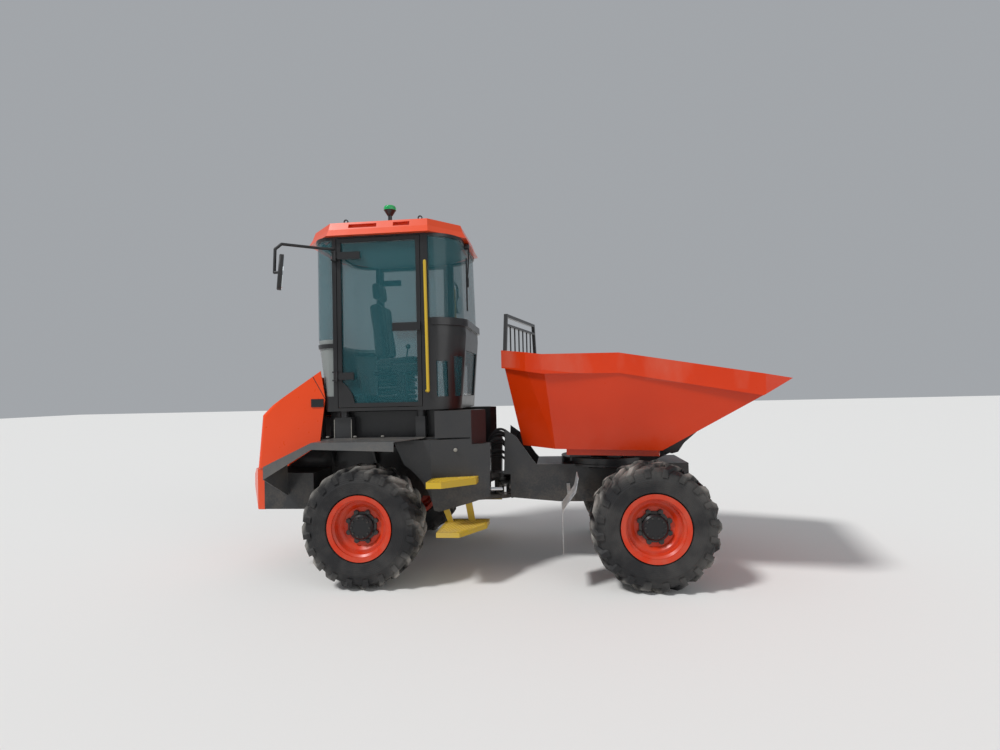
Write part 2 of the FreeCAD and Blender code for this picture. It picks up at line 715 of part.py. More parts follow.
def steering_console():
    """Pedestal with the instrument box and the column's stub."""
    floor = CAB_FLOOR_Z + CAB_FLOOR_PLATE
    pedestal = plate_xz([(570, floor), (700, floor), (670, 2050), (620, 2180), (470, 2150), (545, 2000)],
                        -130, 130)
    column = along_column(cylinder_z(COLUMN_RADIUS, -220, 12, 0, 0))
    return fused([from_rear(pedestal), column])


def steering_wheel():
    rim = Part.makeTorus(STEERING_RADIUS, 14, ORIGIN, Z_AXIS)
    boss = cylinder_z(42, -22, 22, 0, 0).cut(cylinder_z(COLUMN_RADIUS + RUNNING_GAP, -22, 16, 0, 0))
    pieces = [rim, boss]
    for turn in (90, 210, 330):
        a = math.radians(turn)
        start = VECTOR(36 * math.cos(a), 36 * math.sin(a), 0)
        end = VECTOR(STEERING_RADIUS * math.cos(a), STEERING_RADIUS * math.sin(a), 0)
        pieces.append(rod(start, end, 9))
    return along_column(fused(pieces))


def grab_rails(cab):
    out = CAB_HALF_WIDTH + 68
    path = [(512, -CAB_HALF_WIDTH, 2848), (530, -out, 2848), (540, -out, 1672),
            (512, -CAB_HALF_WIDTH, 1672)]
    return both_sides(from_rear(rod_chain(path, 14).cut(cab)))


def mirror_piece(cab, path, centre, half_width, half_height, turn_deg):
    """An oval head on a bent arm, turned about the upright axis towards the seat."""
    depth = 38
    ellipse = Part.Ellipse(ORIGIN, half_height, half_width).toShape()
    head = Part.Face(Part.Wire([ellipse])).extrude(VECTOR(0, 0, depth))
    head = head.makeFillet(12, [e for e in head.Edges if e.BoundBox.ZMin > depth - 1])
    head.translate(VECTOR(0, 0, -depth / 2))
    head.rotate(ORIGIN, Y_AXIS, -90)
    head.rotate(ORIGIN, Y_AXIS, 5)
    head.rotate(ORIGIN, Z_AXIS, turn_deg)
    head.translate(VECTOR(*centre))
    return from_rear(fused([rod_chain(path, 13), head]).cut(cab))


def mirrors(cab):
    """Right mirror at the hood's end of the cab, left one at the skip's end."""
    right = mirror_piece(
        cab, [(-346, -CAB_HALF_WIDTH + 4, 3017), (-460, -722, 3017), (-700, -985, 3000),
              (-745, -1012, 2950),
              (-752, -1016, 2742), (-700, -1020, 2742)],
        (-696, -1020, 2742), 95, 160, 28)
    left = mirror_piece(
        cab, [(520, CAB_HALF_WIDTH, 2950), (505, 1070, 2950), (500, 1128, 2800)],
        (500, 1128, 2730), 85, 105, -15)
    return Part.makeCompound([right, left])


# Doors, modelled for the right side


def door_opening_wire(x0, x1, z0, z1, y):
    """The door's glazed outline, with a rounded solid corner at its lower rear."""
    across, up = 115.0, 195.0
    bulge = VECTOR(x0 + across * 0.62, y, z0 + up * 0.62)
    arc = Part.Arc(VECTOR(x0, y, z0 + up), bulge, VECTOR(x0 + across, y, z0))
    return Part.Wire([
        arc.toShape(),
        Part.makeLine(VECTOR(x0 + across, y, z0), VECTOR(x1, y, z0)),
        Part.makeLine(VECTOR(x1, y, z0), VECTOR(x1, y, z1)),
        Part.makeLine(VECTOR(x1, y, z1), VECTOR(x0, y, z1)),
        Part.makeLine(VECTOR(x0, y, z1), VECTOR(x0, y, z0 + up)),
    ])


def door():
    x0, x1 = DOOR_REAR + MOVING_GAP, DOOR_FRONT - MOVING_GAP
    z0, z1 = DOOR_BOTTOM_Z + MOVING_GAP, DOOR_TOP_Z - MOVING_GAP
    outer_y, inner_y = -CAB_HALF_WIDTH, -CAB_HALF_WIDTH + CAB_WALL
    outline = door_opening_wire(x0 + DOOR_RAIL, x1 - DOOR_RAIL, z0 + DOOR_RAIL, z1 - DOOR_RAIL, outer_y)
    opening = Part.Face(outline).extrude(VECTOR(0, CAB_WALL, 0))
    frame = box(x0, x1, outer_y, inner_y, z0, z1).cut(opening)
    pane_y = outer_y + 20
    pane = moved(opening, 0).common(box(x0, x1, pane_y, pane_y + GLASS, z0, z1))
    hinge_x, hinge_y = DOOR_REAR, -CAB_HALF_WIDTH - HINGE_OUT
    pieces = [frame]
    for z, strap_length in HINGES:
        low, high = z - HINGE_HALF_HEIGHT, z + HINGE_HALF_HEIGHT
        knuckle = cylinder_z(HINGE_KNUCKLE_RADIUS, low, high, hinge_x, hinge_y)
        strap = box(hinge_x + 20, hinge_x + strap_length, hinge_y, outer_y - MOVING_GAP,
                    z - STRAP_HALF_HEIGHT, z + STRAP_HALF_HEIGHT)
        strap = strap.fuse(box(hinge_x, hinge_x + 20, hinge_y, outer_y - MOVING_GAP, z - 20, z + 20))
        pad = box(x0 + 8, x0 + DOOR_RAIL, outer_y - MOVING_GAP, outer_y, z - 20, z + 20)
        bore = cylinder_z(HINGE_PIN_RADIUS + RUNNING_GAP, z - 60, z + 60, hinge_x, hinge_y)
        pieces.append(fused([knuckle, strap, pad]).cut(bore))
    handle = box(DOOR_FRONT - 268, DOOR_FRONT - MOVING_GAP, outer_y - 24, outer_y, 2228, 2303)
    pieces.append(handle)
    return from_rear(fused(pieces)), from_rear(pane)


# Hood


def hood_volume(shrink):
    """The hood's side outline across its width; the inner one is smaller by the wall."""
    outline = [(-518, 1200), (-458, 1625), (-500, 1880), (-1018, 1545), (-1086, 1479),
               (-1137, HOOD_BOTTOM_Z),
               (-860, HOOD_BOTTOM_Z)]
    points = [VECTOR(x, 0, z) for x, z in outline]
    wire = Part.makePolygon(points + points[:1])
    if shrink:
        wire = wire.makeOffset2D(-shrink)
    half = HOOD_HALF_WIDTH - shrink
    body = Part.Face(wire).extrude(VECTOR(0, 2 * half, 0))
    body.translate(VECTOR(0, -half, 0))
    radius = HOOD_EDGE_RADIUS - shrink
    edges = []
    for edge in body.Edges:
        b = edge.BoundBox
        on_side = b.YLength < 1
        upper = b.ZMax > 1460 and b.XMax < -520
        if on_side and upper:
            edges.append(edge)
    return body.makeFillet(radius, edges)


def hood():
    """Open below and towards the cab, with louvre slots in the rear face, latches and hinge knuckles."""
    outer = hood_volume(0)
    shell = outer.cut(hood_volume(HOOD_WALL))
    clear = HOOD_HALF_WIDTH - HOOD_WALL
    shell = shell.cut(box(-850, -400, -clear, clear, 900, 1630))
    shell = shell.cut(box(HOOD_HINGE_X + 15, -400, -clear, clear, 1200, 1900))
    shell = shell.cut(box(-1110, -700, -clear, clear, 900, HOOD_BOTTOM_Z + 20))
    for k in range(8):
        z = 1075 + 42 * k
        shell = shell.cut(box(-1200, -1050, -330, 330, z, z + 20))
    latch = box(-592, -472, -HOOD_HALF_WIDTH - 9, -HOOD_HALF_WIDTH, 1545, 1620)
    fittings = [latch, mirrored(latch)]
    for y in (-HOOD_HINGE_Y, HOOD_HINGE_Y):
        block = box(HOOD_HINGE_X - 18, HOOD_HINGE_X + 18, y - 20, y + 20, HOOD_HINGE_Z - 18,
                    1900).common(outer)
        bore = cylinder_y(HOOD_PIN_RADIUS + RUNNING_GAP, y - 30, y + 30, HOOD_HINGE_X, HOOD_HINGE_Z)
        fittings.append(block.cut(bore))
    return from_rear(fused([shell] + fittings))


def hood_support():
    """Portal on the deck that carries the hood's hinge pins."""
    x0, x1 = HOOD_HINGE_X + 35, HOOD_HINGE_X + 60
    bar_z = HOOD_HINGE_Z - 90
    pieces = [box(x0, x1, -HOOD_HINGE_Y - 60, HOOD_HINGE_Y + 60, bar_z, bar_z + 40)]
    leg = box(x0, x1, -HOOD_HINGE_Y - 60, -HOOD_HINGE_Y - 40, DECK_Z, bar_z + 40)
    ear_y0, ear_y1 = -HOOD_HINGE_Y - 46, -HOOD_HINGE_Y - 26
    ear = cylinder_y(HOOD_EAR_RADIUS, ear_y0, ear_y1, HOOD_HINGE_X, HOOD_HINGE_Z)
    web = plate_xz([(x0, bar_z), (x1, bar_z), (x1, bar_z + 40), (HOOD_HINGE_X + 9, HOOD_HINGE_Z + 13),
                    (HOOD_HINGE_X - 12, HOOD_HINGE_Z - 10)], ear_y0, ear_y1)
    pin = cylinder_y(HOOD_PIN_RADIUS, ear_y0, -HOOD_HINGE_Y + 20, HOOD_HINGE_X, HOOD_HINGE_Z)
    half = [leg, ear, web, pin]
    return pieces + half + [mirrored(piece) for piece in half]


# Articulation


def centre_pivot():
    """Upright trunnions in the rear yoke, a king pin along the front frame and the steering arm."""
    half = YOKE_OPENING / 2
    boss = cylinder_z(YOKE_RADIUS - 8, PIVOT_Z - half + 3, PIVOT_Z + half - 3, 0, 0)
    # Two flat arms that take the steering cylinder's rod eye between them
    eye_x, eye_y = STEER_EYE
    gap = CYLINDER_EYE_WIDTH / 2 + MOVING_GAP
    arms = []
    for z in (PIVOT_Z - gap - FRAME_PLATE, PIVOT_Z + gap):
        outline = [(-60, 0), (60, 0), (eye_x + CYLINDER_EYE_RADIUS, eye_y),
                   (eye_x - CYLINDER_EYE_RADIUS, eye_y)]
        arm = plate_xy(outline, z, z + FRAME_PLATE)
        arms += [arm, cylinder_z(CYLINDER_EYE_RADIUS, z, z + FRAME_PLATE, eye_x, eye_y)]
    trunnion = cylinder_z(PIVOT_PIN_RADIUS - RUNNING_GAP, PIVOT_Z - half - YOKE_PLATE,
                          PIVOT_Z + half + YOKE_PLATE, 0, 0)
    king_pin = cylinder_x(KING_PIN_RADIUS - RUNNING_GAP, 0, KING_HOUSING_START + KING_HOUSING_LENGTH, 0,
                          PIVOT_Z)
    casting = fused([boss, trunnion, king_pin] + arms)
    return moved(casting.cut(cylinder_z(CYLINDER_PIN_RADIUS, PIVOT_Z - half, PIVOT_Z + half, eye_x,
                                        eye_y)), PIVOT_X)


def cylinder_pair(base, eye, barrel_radius, barrel_length, rod_radius, rod_start):
    """Barrel and rod along X from the base pin at the origin; eyes turn about Z."""
    length = math.dist(base, eye)
    half = CYLINDER_EYE_WIDTH / 2
    eye_ring = cylinder_z(CYLINDER_EYE_RADIUS, -half, half, 0, 0)
    bore = cylinder_z(CYLINDER_PIN_RADIUS + RUNNING_GAP, -half, half, 0, 0)
    tube = cylinder_x(barrel_radius, CYLINDER_EYE_RADIUS - 8, barrel_length, 0, 0)
    inside = cylinder_x(rod_radius + RUNNING_GAP, CYLINDER_CLOSED_END, barrel_length, 0, 0)
    barrel = fused([eye_ring, tube]).cut(bore).cut(inside)
    rod_end = moved(eye_ring, length)
    shaft = cylinder_x(rod_radius, rod_start, length - CYLINDER_EYE_RADIUS + 8, 0, 0)
    piston_rod = fused([shaft, rod_end]).cut(moved(bore, length))
    return barrel, piston_rod


def steering_cylinder():
    turn = math.degrees(math.atan2(STEER_EYE[1] - STEER_BASE[1], STEER_EYE[0] - STEER_BASE[0]))
    placed = []
    pair = cylinder_pair(STEER_BASE, STEER_EYE, STEER_BARREL_RADIUS, STEER_BARREL_LENGTH,
                         STEER_ROD_RADIUS, STEER_ROD_START)
    for shape in pair:
        shape.rotate(ORIGIN, Z_AXIS, turn)
        shape.translate(VECTOR(PIVOT_X + STEER_BASE[0], STEER_BASE[1], PIVOT_Z))
        placed.append(shape)
    return placed


def tip_cylinder():
    turn = math.degrees(math.atan2(TIP_EYE[1] - TIP_BASE[1], TIP_EYE[0] - TIP_BASE[0]))
    placed = []
    pair = cylinder_pair(TIP_BASE, TIP_EYE, TIP_BARREL_RADIUS, TIP_BARREL_LENGTH, TIP_ROD_RADIUS,
                         TIP_ROD_START)
    for shape in pair:
        shape.rotate(ORIGIN, X_AXIS, 90)
        shape.rotate(ORIGIN, Y_AXIS, -turn)
        shape.translate(VECTOR(TIP_BASE[0], 0, TIP_BASE[1]))
        placed.append(swivelled(shape))
    return placed


# Front frame, X from the pivot


def front_chassis():
    swivel = SWIVEL_X - PIVOT_X
    nose = FRONT_AXLE_X + FRONT_NOSE_AHEAD - PIVOT_X
    axle_x = FRONT_AXLE_X - PIVOT_X
    inner = FRONT_RAIL_OUTER - FRAME_PLATE
    start = KING_HOUSING_START
    end = start + KING_HOUSING_LENGTH
    outline = [(start, 640), (start, 860), (48, 860), (66, 1290), (182, 1204), (327, 990),
               (362, FRONT_TOP_Z),
               (nose, FRONT_TOP_Z), (nose, 770), (axle_x + 190, FRONT_BOTTOM_Z), (570, FRONT_BOTTOM_Z)]
    rail = plate_xz(outline, inner, FRONT_RAIL_OUTER)
    top = box(362, nose, -inner, inner, FRONT_TOP_Z - FRAME_PLATE, FRONT_TOP_Z)
    ring_seat = cylinder_z(RING_RADIUS + 20, FRONT_TOP_Z - FRAME_PLATE, FRONT_TOP_Z, swivel, 0)
    ring = cylinder_z(RING_RADIUS, FRONT_TOP_Z, FRONT_TOP_Z + RING_HEIGHT - SEAT_GAP, swivel, 0)
    pieces = [rail, mirrored(rail), top, ring_seat, ring]
    for x in (start, end - FRAME_PLATE):
        pieces.append(box(x, x + FRAME_PLATE, -inner, inner, FRONT_BOTTOM_Z + 30,
                          FRONT_TOP_Z - FRAME_PLATE))
    pieces.append(box(nose - FRAME_PLATE, nose, -inner, inner, 780, FRONT_TOP_Z - FRAME_PLATE))
    pieces.append(box(90, 130, -inner, inner, 1080, 1190))
    pieces.append(cylinder_x(KING_HOUSING_RADIUS, start, end, 0, PIVOT_Z))
    frame = fused(pieces)
    frame = frame.cut(cylinder_x(KING_PIN_RADIUS, start - 10, end + 10, 0, PIVOT_Z))
    frame = frame.cut(cylinder_z(RING_BORE_RADIUS, FRONT_TOP_Z - 40, FRONT_TOP_Z + 40, swivel, 0))
    return moved(frame, PIVOT_X)


def splash_guards():
    """Bent plate with a hanging flap behind each front wheel, on an arm from the frame."""
    outer = TRACK / 2 + TYRE_WIDTH / 2 - 20
    bend = [(725, 930), (700, 815), (600, 680), (590, 650), (590, 320), (595, 320), (595, 648),
            (605, 678),
            (705, 812), (730, 930)]
    behind = -TYRE_RADIUS - 816
    plate = plate_xz([(behind + x, z) for x, z in bend], -outer, -700)
    arm = box(behind + 640, behind + 670, -700, -FRONT_RAIL_OUTER, 740, 770)
    tab = box(behind + 640, behind + 670, -760, -700, 735, 775)
    guard = fused([plate, arm, tab])
    return both_sides(moved(guard, FRONT_AXLE_X))


# Turntable and skip, X from the swivel axis


def turntable():
    z = FRONT_TOP_Z + RING_HEIGHT
    top = z + TURNTABLE_PLATE
    pieces = [cylinder_z(RING_RADIUS, z, top, 0, 0)]
    low, high = TIP_EAR_Y - TIP_EAR_WIDTH / 2, TIP_EAR_Y + TIP_EAR_WIDTH / 2
    under_pin = TIP_HINGE_Z - TIP_EAR_RADIUS
    outline = [(200, z), (480, z), (TIP_HINGE_X - 30, under_pin), (TIP_HINGE_X, under_pin),
               (TIP_HINGE_X, TIP_HINGE_Z),
               (TIP_HINGE_X - TIP_EAR_RADIUS, TIP_HINGE_Z), (430, top + 25), (200, top + 25)]
    for side in (-1, 1):
        y0, y1 = sorted((side * low, side * high))
        pieces.append(plate_xz(outline, y0, y1))
        pieces.append(cylinder_y(TIP_EAR_RADIUS, y0, y1, TIP_HINGE_X, TIP_HINGE_Z))
        # Upright beam on which the lowered skip lies
        y0, y1 = sorted((side * (REST_BEAM_Y - 30), side * (REST_BEAM_Y + 30)))
        pieces.append(box(-REST_BEAM_REACH, 180, y0, y1, top, SKIP_FLOOR_Z - MOVING_GAP))
    table = fused(pieces)
    table = table.cut(cylinder_z(TURNTABLE_HOLE_RADIUS, z, top + 30, 0, 0))
    # Cross plate and cheeks that hang the tip cylinder's base pin under the table
    gap = TIP_BARREL_RADIUS + MOVING_GAP
    cheek_outline = [(TIP_BASE[0] - 50, z), (TIP_BASE[0] + 50, z), (TIP_BASE[0] + 35, TIP_BASE[1] - 35),
                     (TIP_BASE[0] - 35, TIP_BASE[1] - 35)]
    bridge = box(TIP_BASE[0] - 50, TIP_BASE[0] + 50, -TURNTABLE_HOLE_RADIUS, TURNTABLE_HOLE_RADIUS, z,
                 top)
    hung = [bridge]
    for side in (-1, 1):
        y0, y1 = sorted((side * gap, side * (gap + FRAME_PLATE)))
        hung.append(plate_xz(cheek_outline, y0, y1))
    hung.append(cylinder_y(CYLINDER_PIN_RADIUS, -gap, gap, TIP_BASE[0], TIP_BASE[1]))
    table = fused([table] + hung)
    bore = cylinder_y(TIP_PIN_RADIUS + RUNNING_GAP, -300, 300, TIP_HINGE_X, TIP_HINGE_Z)
    return swivelled(table.cut(bore))


def rim_top_profile():
    """Height of the rim along the skip as (x, z): it falls towards the lip."""
    return [(SKIP_TAIL - 35, 2042), (SKIP_TAIL, 2042), (-557, 1995), (-380, 1966), (280, 1950),
            (1580, 1702)]


def rim_prism(inset):
    """The rim's plan as a tall prism: straight sides, two-step rear corners and a square lip."""
    half = [(SKIP_TAIL, 600), (-557, 850), (-380, 950), (1380, 950), (1580, 860)]
    points = half + [(x, -y) for x, y in reversed(half)]
    vectors = [VECTOR(x, y, 0) for x, y in points]
    wire = Part.makePolygon(vectors + vectors[:1])
    if inset:
        wire = wire.makeOffset2D(-inset)
    return Part.Face(wire).extrude(VECTOR(0, 0, 2100))


def behind_plane(solid, corners, depth):
    """Cut away what lies outside the plane through three corners, moved inwards by depth."""
    a, b, c = [VECTOR(*p) for p in corners]
    normal = b.sub(a).cross(c.sub(a))
    normal.normalize()
    middle = VECTOR(0, 0, 1500)
    if normal.dot(middle.sub(a)) > 0:
        normal = normal * -1
    size = 6000.0
    cutter = Part.makeBox(size, size, size, VECTOR(-size / 2, -size / 2, 0))
    cutter.Placement = FreeCAD.Placement(a - normal * depth, FreeCAD.Rotation(Z_AXIS, normal))
    return solid.cut(cutter)


def skip_hull(depth):
    """The skip's closed outer form under the rim band, or the same form smaller by its wall."""
    floor = SKIP_FLOOR_Z
    rear, corner, front = (-740, 350, floor), (-340, 680, floor), (590, 720, floor)
    step = BAND_STEP
    rim_rear, rim_mid = (SKIP_TAIL + step, 600, 1870), (-557 + step / 2, 850 - step, 1822)
    rim_side = (-380 + step / 2, 950 - step, 1790)
    lip = (1580, 0, 1702)
    hull = box(-1200, 1700, -1200, 1200, floor + depth, 2100)
    planes = [
        (rear, (-740, 0, floor), rim_rear),
        ((590, 0, floor), front, lip),
        (rear, corner, rim_rear),
        (corner, rim_mid, rim_side),
        (corner, front, rim_side),
    ]
    for a, b, c in planes:
        hull = behind_plane(hull, (a, b, c), depth)
        hull = behind_plane(hull, [(x, -y, z) for x, y, z in (a, b, c)], depth)
    return hull


def skip():
    """Welded skip: folded walls with a deep rim band, floor ribs and tip brackets."""
    top = rim_top_profile()
    below_rim = plate_xz(top + [(1700, 1640), (1700, 1000), (SKIP_TAIL - 35, 1000)], -1200, 1200)
    band_outline = top + [(x, z - BAND_HEIGHT) for x, z in reversed(top)]
    outer = skip_hull(0).common(rim_prism(0)).common(below_rim)
    shell = outer.cut(skip_hull(SKIP_WALL).common(rim_prism(SKIP_WALL)))
    band = rim_prism(0).cut(rim_prism(BAND_DEPTH)).common(plate_xz(band_outline, -1200, 1200))
    band = behind_plane(band, ((590, 0, SKIP_FLOOR_Z), (590, 500, SKIP_FLOOR_Z), (1580, 0, 1702)), 0)
    ribs = []
    for y in (-630, 555):
        ribs.append(box(-250, 560, y, y + 75, SKIP_FLOOR_Z - RIB_DEPTH, SKIP_FLOOR_Z))
    # Cheeks that take the tip cylinder's rod eye
    gap = CYLINDER_EYE_WIDTH / 2 + MOVING_GAP
    eye_x, eye_z = TIP_EYE
    for side in (-1, 1):
        y0, y1 = sorted((side * gap, side * (gap + 14)))
        ribs.append(plate_xz([(eye_x - 70, SKIP_FLOOR_Z), (eye_x + 70, SKIP_FLOOR_Z),
                              (eye_x + 30, eye_z - 28),
                              (eye_x - 30, eye_z - 28)], y0, y1))
    return swivelled(fused([shell, band] + ribs))


def skip_brackets():
    """Triangular hinge plates under the skip's front slope, with their pins in the table's ears."""
    ear_low = TIP_EAR_Y - TIP_EAR_WIDTH / 2 - MOVING_GAP
    ear_high = TIP_EAR_Y + TIP_EAR_WIDTH / 2 + MOVING_GAP
    floor, hinge = SKIP_FLOOR_Z, TIP_HINGE_Z
    outline = [(450, floor), (590, floor), (1000, floor + 240), (760, hinge + 55), (705, hinge - 28),
               (650, hinge - 44), (560, hinge - 15), (450, floor - 30)]
    sets = []
    for side in (-1, 1):
        pieces = []
        for y in (ear_low - SKIP_BRACKET_PLATE, ear_high):
            y0, y1 = sorted((side * y, side * (y + SKIP_BRACKET_PLATE)))
            pieces.append(plate_xz(outline, y0, y1))
        y0, y1 = sorted((side * (ear_low - SKIP_BRACKET_PLATE), side * (ear_high + SKIP_BRACKET_PLATE)))
        pieces.append(cylinder_y(TIP_PIN_RADIUS, y0, y1, TIP_HINGE_X, TIP_HINGE_Z))
        plates = fused(pieces)
        sets.append(plates)
    shape = Part.makeCompound(sets)
    return swivelled(shape)


def skip_guard():
    """Grille on the rear rim that keeps the load off the cab."""
    x = SKIP_TAIL + BAND_DEPTH / 2
    foot = 2042
    half_bar = GUARD_BAR / 2
    mid = GUARD_TOP_Z - 95
    post = plate_yz([(-GUARD_HALF_WIDTH, foot), (-GUARD_HALF_WIDTH + GUARD_BAR, foot),
                     (-GUARD_TOP_HALF_WIDTH + GUARD_BAR, GUARD_TOP_Z), (-GUARD_TOP_HALF_WIDTH,
                                                                        GUARD_TOP_Z)],
                    x - half_bar, x + half_bar)
    top = box(x - half_bar, x + half_bar, -GUARD_TOP_HALF_WIDTH, GUARD_TOP_HALF_WIDTH,
              GUARD_TOP_Z - GUARD_BAR, GUARD_TOP_Z)
    middle = box(x - half_bar, x + half_bar, -GUARD_TOP_HALF_WIDTH - 5, GUARD_TOP_HALF_WIDTH + 5,
                 mid - 25, mid)
    pieces = [post, mirrored(post), top, middle]
    pitch = 2 * GUARD_TOP_HALF_WIDTH / (GUARD_RUNGS + 1)
    for k in range(GUARD_RUNGS):
        y = -GUARD_TOP_HALF_WIDTH + pitch * (k + 1)
        pieces.append(box(x - 6, x + 6, y - 6, y + 6, foot, mid - 25))
    return swivelled(fused(pieces))


def main():
    os.makedirs("parts", exist_ok=True)
    make_wheels()

    save("rear_chassis", rear_chassis())
    save("rear_axle", axle(REAR_AXLE_X, RAIL_OUTER - 35, RAIL_BOTTOM_Z))
    save("engine_block", engine_block())
    save("rear_bumper", from_rear(bumper_block()))
    save("rear_lamps", rear_lamps())
    save("mudguards", mudguards())
    save("side_tanks", Part.makeCompound([both_sides(from_rear(tank())),
                                          both_sides(from_rear(tool_box()))]))
    save("steps", steps())

    outer, inner = cab_volume(0), cab_volume(CAB_WALL)
    save("cab_frame", from_rear(cab_frame(outer, inner)))
    floor_slab = box(-1000, 1200, -800, 800, CAB_FLOOR_Z, CAB_FLOOR_Z + CAB_FLOOR_PLATE)
    save("cab_floor", from_rear(inner.common(floor_slab)))
    pane_layer = cab_volume(GLASS_INSET).cut(cab_volume(GLASS_INSET + GLASS))
    for name, boxes in cab_windows().items():
        save(name, Part.makeCompound([from_rear(pane_layer.common(window)) for window in boxes]))
    save("cab_roof", cab_roof())
    save("roof_fittings", roof_fittings())
    save("beacon_dome", beacon_dome())
    save("seat", seat())
    save("steering_console", steering_console())
    save("steering_wheel", steering_wheel())
    save("grab_rails", grab_rails(outer))
    save("mirrors", mirrors(outer))

    frame, pane = door()
    save("door_right", frame)
    save("door_glass_right", pane)
    save("door_left", mirrored(frame))
    save("door_glass_left", mirrored(pane))
    save("hood", hood())

    save("centre_pivot", centre_pivot())
    barrel, piston_rod = steering_cylinder()
    save("steering_barrel", barrel)
    save("steering_rod", piston_rod)

    save("front_chassis", front_chassis())
    save("front_axle", axle(FRONT_AXLE_X, FRONT_RAIL_OUTER - 35, FRONT_BOTTOM_Z))
    save("splash_guards", splash_guards())

    save("turntable", turntable())
    barrel, piston_rod = tip_cylinder()
    save("tip_barrel", barrel)
    save("tip_rod", piston_rod)
    save("skip", skip())
    save("skip_brackets", skip_brackets())
    save("skip_guard", skip_guard())


if __name__ == "__main__":
    main()
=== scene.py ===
import math

import bpy
from mathutils import Matrix, Vector


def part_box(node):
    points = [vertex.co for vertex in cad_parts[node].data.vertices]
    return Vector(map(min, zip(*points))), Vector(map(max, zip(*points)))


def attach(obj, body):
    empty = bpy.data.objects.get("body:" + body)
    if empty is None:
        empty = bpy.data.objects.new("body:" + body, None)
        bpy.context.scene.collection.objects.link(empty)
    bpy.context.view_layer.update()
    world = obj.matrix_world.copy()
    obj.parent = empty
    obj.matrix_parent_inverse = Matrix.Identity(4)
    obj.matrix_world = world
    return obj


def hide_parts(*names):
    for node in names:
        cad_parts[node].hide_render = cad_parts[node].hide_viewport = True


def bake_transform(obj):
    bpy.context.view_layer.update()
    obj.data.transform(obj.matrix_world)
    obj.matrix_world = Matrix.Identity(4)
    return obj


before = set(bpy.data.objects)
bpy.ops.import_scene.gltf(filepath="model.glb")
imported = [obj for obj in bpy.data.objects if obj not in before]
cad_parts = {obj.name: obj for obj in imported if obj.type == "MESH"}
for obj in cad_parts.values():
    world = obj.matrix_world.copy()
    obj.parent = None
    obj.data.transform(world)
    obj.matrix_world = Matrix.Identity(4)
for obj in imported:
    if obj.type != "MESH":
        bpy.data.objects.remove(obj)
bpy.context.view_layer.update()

# The studio: a pale floor that runs to the horizon, a broad soft key light from behind the machine's
# rear corner and a weaker fill from the skip's side. The camera stands where the photographer stood.
REAR_AXLE_X = -1.334
camera_data = bpy.data.cameras.new("photo_camera")
camera_data.sensor_width = 36.0
camera_data.lens = 20.277
camera_data.clip_end = 200.0
camera = bpy.data.objects.new("photo_camera", camera_data)
bpy.context.scene.collection.objects.link(camera)
view_right = Vector((0.99447, 0.10239, -0.02336))
view_up = Vector((0.02629, -0.02737, 0.99928))
view_ahead = Vector((-0.10168, 0.99437, 0.02991))
turned = Matrix((view_right, view_up, -view_ahead)).transposed().to_4x4()
camera.matrix_world = Matrix.Translation((0.368, -5.715, 1.647)) @ turned
bpy.context.scene.camera = camera
bpy.context.scene.view_settings.view_transform = "Standard"

bpy.ops.object.select_all(action="DESELECT")
bpy.ops.mesh.primitive_plane_add(size=120.0, location=(0.0, 0.0, -0.001))
floor = bpy.context.object
floor.name = "studio_floor"

# lamp: name, direction that it shines from, strength, softness in degrees
for name, come_from, strength, softness in (
    ("key", (-0.50, -0.42, 0.76), 2.35, 10.0),
    ("fill", (0.70, -0.65, 0.30), 0.45, 40.0),
):
    lamp_data = bpy.data.lights.new(name, "SUN")
    lamp_data.energy = strength
    lamp_data.angle = math.radians(softness)
    lamp = bpy.data.objects.new(name, lamp_data)
    lamp.rotation_euler = Vector(come_from).to_track_quat("Z", "Y").to_euler()
    bpy.context.scene.collection.objects.link(lamp)

world = bpy.data.worlds.new("studio_air")
world.use_nodes = True
world.node_tree.nodes["Background"].inputs["Color"].default_value = (0.86, 0.90, 0.95, 1.0)
world.node_tree.nodes["Background"].inputs["Strength"].default_value = 0.42
bpy.context.scene.world = world


# Frame steel: the rear frame, the deck and the cab's pedestals are welded plate in charcoal enamel, a little
# uneven in tone, with road dust that settles low down and on what faces up.
class Shade:
    """A socket of a material: operators add Math nodes, node() adds any other kind."""

    def __init__(self, tree, socket):
        self.tree = tree
        self.socket = socket

    def feed(self, socket, value):
        if isinstance(value, Shade):
            self.tree.links.new(value.socket, socket)
        else:
            socket.default_value = value

    def node(self, kind, settings, values, output=0):
        made = self.tree.nodes.new("ShaderNode" + kind)
        for name, value in settings.items():
            setattr(made, name, value)
        for name, value in values.items():
            self.feed(made.inputs[name], value)
        return Shade(self.tree, made.outputs[output])

    def math(self, operation, *values):
        return self.node("Math", {"operation": operation}, dict(enumerate(values)))

    def __add__(self, other):
        return self.math("ADD", self, other)

    def __radd__(self, other):
        return self.math("ADD", other, self)

    def __sub__(self, other):
        return self.math("SUBTRACT", self, other)

    def __rsub__(self, other):
        return self.math("SUBTRACT", other, self)

    def __mul__(self, other):
        return self.math("MULTIPLY", self, other)

    def __gt__(self, other):
        return self.math("GREATER_THAN", self, other)

    def __lt__(self, other):
        return self.math("LESS_THAN", self, other)

    def held(self):
        """Kept between 0 and 1."""
        return self.node("Math", {"operation": "ADD", "use_clamp": True}, {0: self, 1: 0.0})


def layered(under, over, mask):
    """One colour over another where the mask is 1."""
    return mask.node("Mix", {"data_type": "RGBA"}, {0: mask, 6: under, 7: over}, 2)


def noise(place, scale, detail=2.0, stretch=(1.0, 1.0, 1.0)):
    if stretch != (1.0, 1.0, 1.0):
        place = place.node("Mapping", {}, {"Vector": place, "Scale": stretch})
    return place.node("TexNoise", {}, {"Vector": place, "Scale": scale, "Detail": detail})


